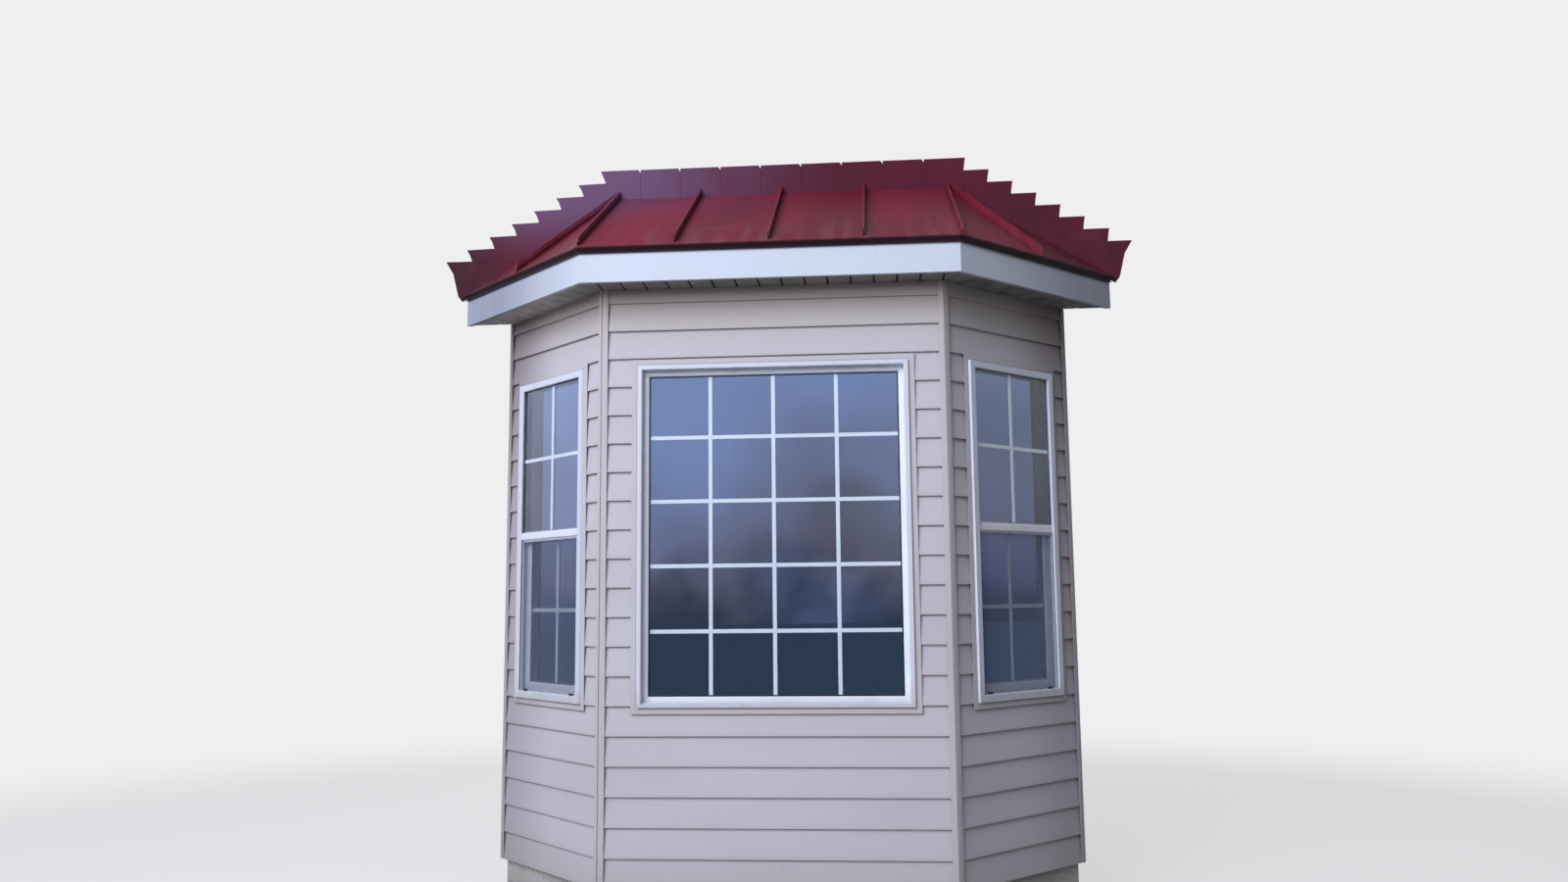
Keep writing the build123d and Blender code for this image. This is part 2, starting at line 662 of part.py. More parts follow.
def flashing_top():
    """Level strip over the ridge line, of sheets lapped from left to right."""
    ridge = RIDGE_LEVEL - FLASHING_TUCK
    low = roof_edge_level(FLASHING_HALF) - FLASHING_TUCK
    left, right = FLASHING_HALF - STEP_SLANT[-1], FLASHING_HALF - STEP_SLANT[1]
    points = [(-FLASHING_HALF, FLASHING_TOP), (FLASHING_HALF, FLASHING_TOP)]
    points += [(right, FLASHING_TOP - STEP_RISE), (right, low), (RIDGE_HALF, ridge)]
    points += [(-RIDGE_HALF, ridge), (-left, low), (-left, FLASHING_TOP - STEP_RISE)]
    region = extrude(Plane.XZ * Polygon(*points, align=None), FLASHING_DEPTH, dir=(0, -1, 0))
    pitch = 2 * FLASHING_HALF / FLASHING_SHEETS
    strip_of_sheets = Part()
    for i in range(FLASHING_SHEETS):
        outer = -FLASHING_HALF + (i + 1) * pitch
        inner = max(outer - pitch - FLASHING_OVERLAP, -FLASHING_HALF)
        sheet = [(inner, low), (outer, low), (outer, FLASHING_TOP), (inner, FLASHING_TOP)]
        strip_of_sheets += lapped_sheet(sheet, inner, outer)
    for i in range(1, FLASHING_SHEETS):
        x = -FLASHING_HALF + i * pitch
        nick = [(x - NICK_WIDTH, FLASHING_TOP + 1), (x + 1, FLASHING_TOP + 1)]
        nick += [(x, FLASHING_TOP - LAP_NICK)]
        region -= extrude(Plane.XZ * Polygon(*nick, align=None), TALL, both=True)
    return strip_of_sheets & region


def roof_edge_level(x):
    """Height of an angled side's upper edge on the house wall."""
    eave_x = outline(EAVE_OFFSET)[3][0]
    share = (x - RIDGE_HALF) / (eave_x - RIDGE_HALF)
    return RIDGE_LEVEL + share * (EAVE_LEVEL - RIDGE_LEVEL)


def flashing_side(sign):
    """Stepped strip down one side of the roof, each step's sheet over the next one."""
    slant = STEP_SLANT[sign]
    eave_x = outline(EAVE_OFFSET)[3][0]
    steps = Part()
    for k in range(1, STEP_COUNT + 1):
        outer = FLASHING_HALF + k * STEP_RUN
        inner = outer - STEP_RUN - FLASHING_OVERLAP
        if k == 1:
            inner = FLASHING_HALF - slant + CLEARANCE
        top = FLASHING_TOP - k * STEP_RISE
        if k < STEP_COUNT:
            foot = outer - slant
            points = [(inner, top), (outer, top - STEP_DROOP[sign])]
            points += [(outer - STEP_HOOK * slant, top - STEP_RISE / 2), (foot, top - STEP_RISE)]
            points += [(foot, roof_edge_level(foot) - FLASHING_TUCK)]
        else:
            outer = outer - STEP_RUN + FLASHING_TAIL
            across, down = TAIL_CORNER
            points = [(inner, top), (outer, top), (outer - across, top - down)]
            points += [(outer - TAIL_FOOT, EAVE_LEVEL), (eave_x, EAVE_LEVEL - FLASHING_TUCK)]
        points += [(inner, roof_edge_level(inner) - FLASHING_TUCK)]
        points = [(sign * x, z) for x, z in points]
        steps += lapped_sheet(points, sign * inner, sign * outer)
    return steps


def build():
    """All pieces of the bay by name, with the wall plane at Y = 0."""
    slope = math.atan((RIDGE_LEVEL - EAVE_LEVEL) / TOTAL_DEPTH)
    heel = EAVE_LEVEL + (EAVE_OFFSET - SHEATHING) * math.tan(slope)
    wall_top = heel - (DECK_THICKNESS + RAFTER_DEPTH) / math.cos(slope) - CLEARANCE
    deck_base = FOUNDATION_HEIGHT + JOIST_DEPTH
    ceiling_top = CEILING_LEVEL + CEILING_THICKNESS
    pieces = {
        "foundation": foundation(),
        "floor_joists": joists(FOUNDATION_HEIGHT, JOIST_DEPTH),
        "floor_deck": room(INSIDE - CLEARANCE, deck_base, deck_base + FLOOR_THICKNESS),
        "ceiling_board": room(INSIDE - CLEARANCE, CEILING_LEVEL, ceiling_top),
        "ceiling_joists": joists(ceiling_top, CEILING_JOIST_DEPTH),
        "window_stools": stool("left") + stool("front") + stool("right"),
        "soffit": soffit("left") + soffit("front") + soffit("right"),
        "roof_deck": roof_deck("left") + roof_deck("front") + roof_deck("right"),
        "roof_framing": roof_framing(),
        "flashing_top": flashing_top(),
        "flashing_left": flashing_side(-1),
        "flashing_right": flashing_side(1),
        "corner_post_left": corner_post(-1),
        "corner_post_right": corner_post(1),
    }
    for side in SIDES:
        pieces[f"{side}_wall"] = wall(side, wall_top)
        pieces[f"{side}_siding"] = siding(side)
        pieces[f"{side}_channels"] = window_channel(side)
        pieces[f"{side}_window_frame"] = window_frame(side)
        pieces[f"{side}_fascia"] = fascia(side)
    front_sash, front_glass = front_lights()
    pieces["front_sash"] = front_sash
    pieces["front_glass"] = front_glass
    for side in ("left", "right"):
        upper, lower, glass, screen = flank_lights(side)
        pieces[f"{side}_upper_sash"] = upper
        pieces[f"{side}_lower_sash"] = lower
        pieces[f"{side}_glass"] = glass
        pieces[f"{side}_screen"] = screen
        pieces[f"{side}_channels"] += wall_channel(side)
        pieces[f"{side}_roof_pans"] = flank_pans(side)
    for i in range(PAN_COUNT):
        pieces[f"front_roof_pan_{i + 1}"] = front_pan(i)
    return pieces


os.makedirs("parts", exist_ok=True)
for name, piece in build().items():
    export_step(Pos(0, TOTAL_DEPTH / 2, 0) * piece, f"parts/{name}.step")
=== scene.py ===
import math

import bmesh
import bpy
from mathutils import Matrix, Vector


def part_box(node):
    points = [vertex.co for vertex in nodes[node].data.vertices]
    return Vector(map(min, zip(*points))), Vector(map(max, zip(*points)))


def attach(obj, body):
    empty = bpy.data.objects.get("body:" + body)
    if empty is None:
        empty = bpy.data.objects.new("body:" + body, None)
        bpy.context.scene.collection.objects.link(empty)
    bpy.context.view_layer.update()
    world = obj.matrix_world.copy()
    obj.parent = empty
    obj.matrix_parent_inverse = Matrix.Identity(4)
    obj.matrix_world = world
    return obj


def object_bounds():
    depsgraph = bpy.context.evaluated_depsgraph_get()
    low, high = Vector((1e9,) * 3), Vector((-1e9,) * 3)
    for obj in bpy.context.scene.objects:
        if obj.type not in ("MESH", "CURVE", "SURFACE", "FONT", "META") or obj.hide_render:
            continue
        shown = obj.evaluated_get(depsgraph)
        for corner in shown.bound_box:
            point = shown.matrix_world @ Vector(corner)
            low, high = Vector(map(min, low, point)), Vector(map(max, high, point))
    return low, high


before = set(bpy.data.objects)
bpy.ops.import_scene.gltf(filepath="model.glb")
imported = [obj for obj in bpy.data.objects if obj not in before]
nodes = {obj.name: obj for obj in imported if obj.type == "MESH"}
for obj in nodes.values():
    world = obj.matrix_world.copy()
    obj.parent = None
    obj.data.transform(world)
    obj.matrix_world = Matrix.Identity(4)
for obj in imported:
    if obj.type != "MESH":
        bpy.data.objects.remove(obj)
cad_box = [list(corner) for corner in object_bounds()]
back_y = cad_box[1][1]

# Foundation
# Poured concrete under the three sides, stripped of its forms and left bare: board
# marks every form height, small air holes painted dark inside as painted shade, and damp
# that climbs a little from the soil.

CONCRETE = (0.46, 0.445, 0.42)
CONCRETE_CLOUD = (0.37, 0.355, 0.33)
CONCRETE_DAMP = (0.27, 0.255, 0.23)
AIR_HOLE_SHADE = (0.2, 0.19, 0.175)
DAMP_RANGE = (0.08, -0.1)
FORM_BOARD = 0.15
FORM_MARK = 0.004


def feed(tree, sockets, values):
    """Links other nodes' outputs into sockets, or sets them to plain values."""
    for key, value in values.items():
        if isinstance(value, bpy.types.NodeSocket):
            tree.links.new(value, sockets[key])
        else:
            sockets[key].default_value = value


def add(tree, kind, inputs=None, **settings):
    """Adds one node to a tree and returns its outputs."""
    node = tree.nodes.new(kind)
    for key, value in settings.items():
        setattr(node, key, value)
    feed(tree, node.inputs, inputs or {})
    return node.outputs


def sums(tree, operation, first, second=0.0):
    """One step of arithmetic on values or sockets."""
    return add(tree, "ShaderNodeMath", {0: first, 1: second}, operation=operation)[0]


def plus(tree, first, second):
    return sums(tree, "ADD", first, second)


def times(tree, first, second):
    return sums(tree, "MULTIPLY", first, second)


def rise(tree, value, low, high):
    """A smooth climb from 0 to 1 as value goes from low to high."""
    limits = {"Value": value, "From Min": low, "From Max": high}
    return add(tree, "ShaderNodeMapRange", limits, interpolation_type="SMOOTHSTEP")[0]


def mixed(tree, factor, first, second, way="MIX"):
    """Colour between two colours, each a tuple or a socket."""
    first, second = ((*c, 1) if isinstance(c, tuple) else c for c in (first, second))
    inputs = {0: factor, 6: first, 7: second}
    return add(tree, "ShaderNodeMix", inputs, data_type="RGBA", blend_type=way)[2]


def position(tree):
    """X, Y and Z of the shaded point on its piece."""
    place = add(tree, "ShaderNodeTexCoord")["Object"]
    return add(tree, "ShaderNodeSeparateXYZ", {0: place})


def noise(tree, size, stretch=(1, 1, 1), detail=4.0):
    """Cloudy noise with blotches of a size, drawn out along an axis by a smaller stretch."""
    place = add(tree, "ShaderNodeTexCoord")["Object"]
    place = add(tree, "ShaderNodeMapping", {"Vector": place, "Scale": stretch})[0]
    inputs = {"Vector": place, "Scale": 1 / size, "Detail": detail}
    return add(tree, "ShaderNodeTexNoise", inputs)[0]


def relief(tree, height, depth, under=None):
    """Surface relief of a real depth in metres, on top of another relief if one is given."""
    inputs = {"Height": height, "Distance": depth, "Strength": 1.0}
    if under:
        inputs["Normal"] = under
    return add(tree, "ShaderNodeBump", inputs)[0]


def new_finish(name, colour, roughness):
    """A material, its node tree and its shader's sockets."""
    material = bpy.data.materials.new(name)
    material.use_nodes = True
    sockets = material.node_tree.nodes["Principled BSDF"].inputs
    sockets["Base Color"].default_value = (*colour, 1)
    sockets["Roughness"].default_value = roughness
    return material, material.node_tree, sockets


def finish_nodes(material, *names):
    """Gives CAD pieces their finish."""
    for name in names:
        for slot in nodes[name].material_slots:
            slot.material = material


concrete, tree, shader = new_finish("poured concrete", CONCRETE, roughness=0.9)
cloud = noise(tree, 0.35)
height = position(tree)["Z"]
damp = rise(tree, plus(tree, height, times(tree, cloud, -0.25)), *DAMP_RANGE)
colour = mixed(tree, rise(tree, cloud, 0.3, 0.7), CONCRETE, CONCRETE_CLOUD)
colour = mixed(tree, damp, colour, CONCRETE_DAMP)
holes = rise(tree, noise(tree, 0.012, detail=1.0), 0.66, 0.74)
board = sums(tree, "PINGPONG", height, FORM_BOARD / 2)
mark = rise(tree, board, FORM_MARK, 0.0)
# Painted shade: the air holes are painted dark inside.
colour = mixed(tree, holes, colour, AIR_HOLE_SHADE)
surface = relief(tree, noise(tree, 0.006), 0.0006)
surface = relief(tree, sums(tree, "SUBTRACT", mark, holes), 0.0015, surface)
feed(tree, shader, {"Base Color": colour, "Normal": surface})
finish_nodes(concrete, "foundation")

# Floor, ceiling joists and roof framing
# Sawn softwood on edge, dried and slightly darkened, with growth rings that run along
# the boards and a knot now and then.

LUMBER = (0.60, 0.43, 0.25)
LUMBER_RING = (0.42, 0.26, 0.13)
LUMBER_PALE = (0.70, 0.54, 0.34)
KNOT = (0.16, 0.08, 0.035)
KNOTS_PER_METRE = 2.6

lumber, tree, shader = new_finish("sawn lumber", LUMBER, roughness=0.75)
rings = noise(tree, 0.012, (0.06, 0.06, 1), 6.0)
shade = noise(tree, 0.5, (0.4, 0.4, 1))
colour = mixed(tree, rise(tree, rings, 0.4, 0.68), LUMBER, LUMBER_RING)
colour = mixed(tree, times(tree, shade, 0.5), colour, LUMBER_PALE)
knots = add(tree, "ShaderNodeTexVoronoi", {"Vector": add(tree, "ShaderNodeTexCoord")["Object"],
                                           "Scale": KNOTS_PER_METRE})["Distance"]
colour = mixed(tree, rise(tree, knots, 0.05, 0.03), colour, KNOT)
feed(tree, shader, {"Base Color": colour, "Normal": relief(tree, rings, 0.0005)})
finish_nodes(lumber, "floor_joists", "ceiling_joists", "roof_framing")

# Floor and roof decks
# Plywood sheets: rotary-cut face with wide figure across the bay, and thin glued
# layers that show on every sawn edge.

PLY = 0.003
PLY_FACE = (0.66, 0.49, 0.30)
PLY_FIGURE = (0.53, 0.36, 0.19)
PLY_GLUE = (0.30, 0.19, 0.10)
PLY_LAYER = (0.62, 0.46, 0.28)

plywood, tree, shader = new_finish("plywood", LUMBER, roughness=0.6)
figure = noise(tree, 0.05, (0.12, 1, 1), 5.0)
colour = mixed(tree, rise(tree, figure, 0.35, 0.65), PLY_FACE, PLY_FIGURE)
layer = sums(tree, "PINGPONG", position(tree)["Z"], PLY)
layers = mixed(tree, rise(tree, layer, PLY * 0.3, PLY * 0.7), PLY_GLUE, PLY_LAYER)
facing = add(tree, "ShaderNodeTexCoord")["Normal"]
facing = add(tree, "ShaderNodeSeparateXYZ", {0: facing})["Z"]
edge = rise(tree, sums(tree, "ABSOLUTE", facing), 0.5, 0.3)
colour = mixed(tree, edge, colour, layers)
feed(tree, shader, {"Base Color": colour, "Normal": relief(tree, figure, 0.0003)})
finish_nodes(plywood, "floor_deck", "roof_deck")

# Framed walls and ceiling
# Inside lining board with two coats of off-white wall paint put on by roller. Where the
# side walls end at the open back the bare studs show.

WALL_PAINT = (0.72, 0.70, 0.65)
WALL_PATCH = (0.68, 0.66, 0.61)
STUDS_SHOW = (0.0015, 0.0005)

wall_board, tree, shader = new_finish("painted wall board", WALL_PAINT, roughness=0.7)
patch = noise(tree, 0.6)
colour = mixed(tree, rise(tree, patch, 0.3, 0.7), WALL_PAINT, WALL_PATCH)
rings = noise(tree, 0.012, (1, 1, 0.06), 6.0)
stud = mixed(tree, rise(tree, rings, 0.4, 0.68), LUMBER, LUMBER_RING)
at_back = rise(tree, position(tree)["Y"], *(back_y - depth for depth in STUDS_SHOW))
colour = mixed(tree, at_back, colour, stud)
feed(tree, shader, {"Base Color": colour, "Normal": relief(tree, noise(tree, 0.003), 0.0004)})
finish_nodes(wall_board, "left_wall", "front_wall", "right_wall", "ceiling_board")

# Lap siding
# Extruded vinyl sheets bent into laps, pale taupe, embossed with a long wood grain. Dust
# gathers above each lap, with a painted shadow under the next. Painted shade darkens the
# top of the siding under the eave, and the back edges by the house, most of all up high.

SIDING = (0.545, 0.535, 0.585)
SIDING_DUSTY = (0.455, 0.425, 0.42)
SIDING_STREAK = (0.33, 0.30, 0.27)
SIDING_PALE = (0.62, 0.59, 0.59)
LAP_SHADE = (0.24, 0.21, 0.19)
PAINTED_EAVE_SHADE = (0.46, 0.41, 0.37)
EAVE_SHADE_RANGE = (0.34, 0.02)
NOOK_SHADE = (0.17, 0.125, 0.135)
NOOK_WIDTH = 0.34
NOOK_RANGE = (0.9, 0.1)
SOIL = (0.26, 0.22, 0.17)
SOIL_RANGE = (0.75, 0.35)
LAP = 0.127
siding_low, siding_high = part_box("front_siding")


def vinyl(name, colour, grained):
    """Siding vinyl, with wood grain and lap shading on the sheets only.

    The ranges of painted shade under the eave and in the nook are depths below the top of the
    siding.
    """
    material, tree, shader = new_finish(name, colour, roughness=0.55)
    spot = position(tree)
    height = spot["Z"]
    course = sums(tree, "DIVIDE", sums(tree, "SUBTRACT", height, siding_low.z), LAP)
    shade = noise(tree, 0.5, (0.5, 0.5, 1))
    paint = mixed(tree, times(tree, rise(tree, shade, 0.35, 0.7), 0.35), colour, SIDING_DUSTY)
    streak = noise(tree, 0.03, (1, 1, 0.05), 3.0)
    paint = mixed(tree, times(tree, rise(tree, streak, 0.55, 0.8), 0.09), paint, SIDING_STREAK)
    surface = relief(tree, noise(tree, 0.25, (0.3, 0.3, 1)), 0.0015)
    if grained:
        sheet = add(tree, "ShaderNodeTexWhiteNoise",
                    {"W": sums(tree, "FLOOR", sums(tree, "DIVIDE", course, 2.0))},
                    noise_dimensions="1D")["Value"]
        paint = mixed(tree, times(tree, sheet, 0.16), paint, SIDING_PALE)
        rest = sums(tree, "FRACT", course)
        dust = rise(tree, rest, 0.16, 0.0)
        paint = mixed(tree, times(tree, dust, 0.3), paint, SIDING_DUSTY)
        top = rise(tree, rest, 0.9, 1.0)
        paint = mixed(tree, times(tree, top, 0.2), paint, LAP_SHADE)
        grain = noise(tree, 0.005, (0.03, 0.03, 1), 5.0)
        surface = relief(tree, grain, 0.0005, surface)
    # Painted shade: the top of the siding darkens under the eave.
    eave_shade = rise(tree, height, *(siding_high.z - fall for fall in EAVE_SHADE_RANGE))
    paint = mixed(tree, times(tree, eave_shade, 0.85), paint, PAINTED_EAVE_SHADE)
    # Painted shade in the nook by the house, strongest up under the eave.
    nook_shade = rise(tree, spot["Y"], back_y - NOOK_WIDTH, back_y)
    upper = rise(tree, height, *(siding_high.z - fall for fall in NOOK_RANGE))
    upper = plus(tree, times(tree, upper, 0.45), 0.35)
    paint = mixed(tree, times(tree, nook_shade, upper), paint, NOOK_SHADE)
    soil = rise(tree, plus(tree, height, times(tree, shade, 0.5)), *SOIL_RANGE)
    paint = mixed(tree, times(tree, soil, 0.35), paint, SOIL)
    feed(tree, shader, {"Base Color": paint, "Normal": surface})
    return material


finish_nodes(vinyl("grained siding vinyl", SIDING, True),
             "left_siding", "front_siding", "right_siding")

# Corner posts and channels
# The same vinyl without grain: hemmed posts at the two front corners, and channels round
# the windows and at the back edges that cover the sheets' cut ends.

TRIM = (0.56, 0.53, 0.55)

finish_nodes(vinyl("smooth trim vinyl", TRIM, False),
             "corner_post_left", "corner_post_right",
             "left_channels", "front_channels", "right_channels")

# Window frames and sashes
# Welded white vinyl, satin, with a trace of grey dirt that thickens towards the sills. The
# frames' outward faces are a duller white; their other faces and the sashes set back in the
# recess are brighter, as painted light.

WINDOW_WHITE = (0.77, 0.81, 0.90)
OUTWARD_WHITE = (0.64, 0.68, 0.77)
RECESS_LIT_WHITE = (0.82, 0.87, 0.96)
WINDOW_FILM = (0.60, 0.62, 0.66)
WINDOW_GRIME = (0.42, 0.40, 0.36)
GRIME_RANGE = (0.16, 0.03)
TURN = {"left": -45.0, "front": 0.0, "right": 45.0}
FRAME_MIDDLE = 0.024

sill_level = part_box("front_window_frame")[0].z


def window_place(side):
    """A window's own axes: X to the right seen from outside, Y inwards from the sheathing."""
    low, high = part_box(side + "_window_frame")
    axes = Matrix.Rotation(math.radians(TURN[side]), 4, "Z")
    middle = (low + high) / 2
    middle.z = 0
    return Matrix.Translation(middle - axes @ Vector((0, FRAME_MIDDLE, 0))) @ axes


def window_finish(name, white, recess=None, side="front"):
    """Satin window vinyl with a film of dirt that thickens towards the sill.

    A second, brighter white is painted light on the faces that don't look straight out of the
    wall.
    """
    material, tree, shader = new_finish(name, white, roughness=0.32)
    film = noise(tree, 0.08, (1, 1, 0.4))
    height = position(tree)["Z"]
    grime = rise(tree, plus(tree, height, times(tree, film, 0.12)),
                 *(sill_level + above for above in GRIME_RANGE))
    # Painted light: faces that don't look straight out get the brighter recess white.
    if recess:
        outwards = window_place(side).to_3x3() @ Vector((0, -1, 0))
        facing = add(tree, "ShaderNodeVectorMath", {
            0: add(tree, "ShaderNodeTexCoord")["Normal"], 1: outwards},
            operation="DOT_PRODUCT")["Value"]
        white = mixed(tree, rise(tree, facing, 0.5, 0.9), recess, white)
    colour = mixed(tree, times(tree, rise(tree, film, 0.4, 0.75), 0.25), white, WINDOW_FILM)
    colour = mixed(tree, times(tree, grime, 0.5), colour, WINDOW_GRIME)
    feed(tree, shader, {"Base Color": colour, "Roughness": rise(tree, film, -0.6, 2.2),
                        "Normal": relief(tree, noise(tree, 0.15), 0.0006)})
    return material


for side in TURN:
    finish_nodes(window_finish("frame vinyl " + side, OUTWARD_WHITE, RECESS_LIT_WHITE, side),
                 side + "_window_frame")
finish_nodes(window_finish("white window vinyl", WINDOW_WHITE),
             "left_upper_sash", "right_upper_sash")
# Painted light: the sashes set back in the recess get the brighter white.
recess_lit_vinyl = window_finish("window vinyl with painted light", RECESS_LIT_WHITE)
finish_nodes(recess_lit_vinyl, "front_sash", "left_lower_sash", "right_lower_sash")

# Glass
# Sealed double glazing whose inner pane is tinted dark blue, a painted shade and painted
# sky reflection. Shadow rays pass straight through both panes, so that the lamps light the
# inside of the bay.

PANE_CLEAR = (0.93, 0.95, 0.96)
PANE_PAINTED_DARK = (0.085, 0.12, 0.21)
PANE_SHADOW = (0.45, 0.5, 0.6)
UNIT_MIDDLE = {"front": 0.031, "upper": -0.004, "lower": 0.033}


def glazing(side):
    """Glass whose inner pane, found by its depth in the wall, carries the painted dark blue
    tint.
    """
    material, tree, shader = new_finish("glazing " + side, PANE_CLEAR, roughness=0.0)
    place = window_place(side)
    inwards = place.to_3x3() @ Vector((0, 1, 0))
    start = inwards.dot(place.translation)
    spot = position(tree)
    depth = plus(tree, times(tree, spot["X"], inwards.x), times(tree, spot["Y"], inwards.y))
    if side == "front":
        middle = start + UNIT_MIDDLE["front"]
    else:
        rail = (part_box(side + "_lower_sash")[1].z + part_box(side + "_upper_sash")[0].z) / 2
        upper = sums(tree, "GREATER_THAN", spot["Z"], rail)
        step = UNIT_MIDDLE["lower"] - UNIT_MIDDLE["upper"]
        middle = plus(tree, times(tree, upper, -step), start + UNIT_MIDDLE["lower"])
    inner = sums(tree, "GREATER_THAN", depth, middle)
    # Painted shade and reflection: the inner pane is tinted dark blue.
    colour = mixed(tree, inner, PANE_CLEAR, PANE_PAINTED_DARK)
    feed(tree, shader, {"Base Color": colour, "Transmission Weight": 1.0, "IOR": 1.5})
    output = tree.nodes["Material Output"].inputs["Surface"]
    passed = mixed(tree, inner, PANE_CLEAR, PANE_SHADOW)
    open_to_lamps = add(tree, "ShaderNodeBsdfTransparent", {"Color": passed})[0]
    shadow = add(tree, "ShaderNodeLightPath")["Is Shadow Ray"]
    both = add(tree, "ShaderNodeMixShader", {0: shadow, 1: output.links[0].from_socket,
                                             2: open_to_lamps})[0]
    tree.links.new(both, output)
    return material


for side in TURN:
    finish_nodes(glazing(side), side + "_glass")

# Grille bars
# White enamelled aluminium bars that lie between the two panes of each unit: four lights
# by five in front, two by two in each hung sash.

BAR_WHITE = (0.86, 0.91, 0.97)
BAR_WIDTH = 0.018
BAR_DEPTH = 0.006
BAR_EASING = 0.002
GLASS_BITE = 0.006
UNIT_THICKNESS = 0.018
PANE = 0.003


def new_tree(name, sizes):
    """A Geometry Nodes tree with named inputs; returns it and its input sockets."""
    tree = bpy.data.node_groups.new(name, "GeometryNodeTree")
    tree.interface.new_socket(name="Geometry", in_out="OUTPUT",
                              socket_type="NodeSocketGeometry")
    for label, value in sizes.items():
        kind = "NodeSocketInt" if isinstance(value, int) else "NodeSocketFloat"
        tree.interface.new_socket(name=label, in_out="INPUT", socket_type=kind)
    return tree, tree.nodes.new("NodeGroupInput").outputs


def vector(tree, x=0.0, y=0.0, z=0.0):
    """A vector from values or sockets."""
    return add(tree, "ShaderNodeCombineXYZ", {0: x, 1: y, 2: z})[0]


def end_tree(tree, material, *parts):
    """Joins what was placed, makes it real and gives it its finish."""
    joined = tree.nodes.new("GeometryNodeJoinGeometry")
    for part in parts:
        tree.links.new(part, joined.inputs[0])
    real = add(tree, "GeometryNodeRealizeInstances", {0: joined.outputs[0]})[0]
    done = add(tree, "GeometryNodeSetMaterial", {"Geometry": real, "Material": material})[0]
    feed(tree, tree.nodes.new("NodeGroupOutput").inputs, {"Geometry": done})


def put(name, mesh, place):
    """An object whose mesh is moved to its place."""
    mesh.transform(place)
    piece = bpy.data.objects.new(name, mesh)
    bpy.context.scene.collection.objects.link(piece)
    return piece


def grown(name, tree, sizes, place):
    """The plain mesh that a tree makes for a set of sizes, put in its place."""
    seed = bpy.data.objects.new(name + "_seed", bpy.data.meshes.new(name + "_seed"))
    bpy.context.scene.collection.objects.link(seed)
    modifier = seed.modifiers.new("grow", "NODES")
    modifier.node_group = tree
    for item in tree.interface.items_tree:
        if item.in_out == "INPUT":
            modifier[item.identifier] = sizes[item.name]
    graph = bpy.context.evaluated_depsgraph_get()
    mesh = bpy.data.meshes.new_from_object(seed.evaluated_get(graph))
    seed.modifiers.remove(modifier)
    bpy.data.objects.remove(seed)
    mesh.name = name
    return put(name, mesh, place)


def eased(piece, width):
    """Breaks a piece's sharp edges."""
    bevel = piece.modifiers.new("eased edges", "BEVEL")
    bevel.width = width
    bevel.segments = 2
    bevel.limit_method = "ANGLE"


def fitted(piece):
    """A piece that is fixed to the bay."""
    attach(piece, "root")


enamel, tree, shader = new_finish("white enamel", BAR_WHITE, roughness=0.4)
feed(tree, shader, {"Normal": relief(tree, noise(tree, 0.02), 0.0002)})

GRILLE = {"Width": 1.0, "Height": 1.0, "Columns": 2, "Rows": 2, "Bar Width": BAR_WIDTH,
          "Bar Depth": BAR_DEPTH}
tree, size = new_tree("grille", GRILLE)
column = sums(tree, "DIVIDE", size["Width"], size["Columns"])
row = sums(tree, "DIVIDE", size["Height"], size["Rows"])
uprights = add(tree, "GeometryNodeMeshLine", {
    "Count": sums(tree, "SUBTRACT", size["Columns"], 1.0),
    "Start Location": vector(tree, times(tree, size["Width"], -0.5)),
    "Offset": vector(tree, column)}, mode="OFFSET")[0]
moved = add(tree, "GeometryNodeTransform", {"Geometry": uprights,
                                            "Translation": vector(tree, column)})[0]
upright = add(tree, "GeometryNodeMeshCube", {
    "Size": vector(tree, size["Bar Width"], size["Bar Depth"], size["Height"])})[0]
uprights = add(tree, "GeometryNodeInstanceOnPoints", {"Points": moved, "Instance": upright})[0]
cross_points = add(tree, "GeometryNodeMeshGrid", {
    "Size X": sums(tree, "SUBTRACT", size["Width"], column),
    "Size Y": sums(tree, "SUBTRACT", size["Height"], times(tree, row, 2.0)),
    "Vertices X": size["Columns"],
    "Vertices Y": sums(tree, "SUBTRACT", size["Rows"], 1.0)})[0]
cross_points = add(tree, "GeometryNodeTransform", {
    "Geometry": cross_points, "Rotation": (math.pi / 2, 0, 0)})[0]
crosspiece = add(tree, "GeometryNodeMeshCube", {
    "Size": vector(tree, sums(tree, "SUBTRACT", column, size["Bar Width"]),
                   size["Bar Depth"], size["Bar Width"])})[0]
crosspieces = add(tree, "GeometryNodeInstanceOnPoints", {"Points": cross_points,
                                                         "Instance": crosspiece})[0]
end_tree(tree, enamel, uprights, crosspieces)

UPPER_BEAD = 0.008
LOWER_STILE = 0.038
MEETING_RAIL = 0.032
BOTTOM_RAIL = 0.051
FRONT_STILE = 0.023
RAILS = {"front": (FRONT_STILE, FRONT_STILE, FRONT_STILE),
         "upper": (UPPER_BEAD, MEETING_RAIL, UPPER_BEAD),
         "lower": (LOWER_STILE, BOTTOM_RAIL, MEETING_RAIL)}
SASHES = {"front_sash": ("front", "front", 4, 5),
          "left_upper_sash": ("left", "upper", 2, 2),
          "left_lower_sash": ("left", "lower", 2, 2),
          "right_upper_sash": ("right", "upper", 2, 2),
          "right_lower_sash": ("right", "lower", 2, 2)}
SASH_THICKNESS = 0.030


def across(low, high, depth):
    """Width along a face of a piece that is turned with its side of the bay.

    The box round a piece on a flank is as deep as it is wide.
    """
    if abs(high.x - low.x - (high.y - low.y)) > depth:
        return high.x - low.x
    return (high.x - low.x) * math.sqrt(2) - depth


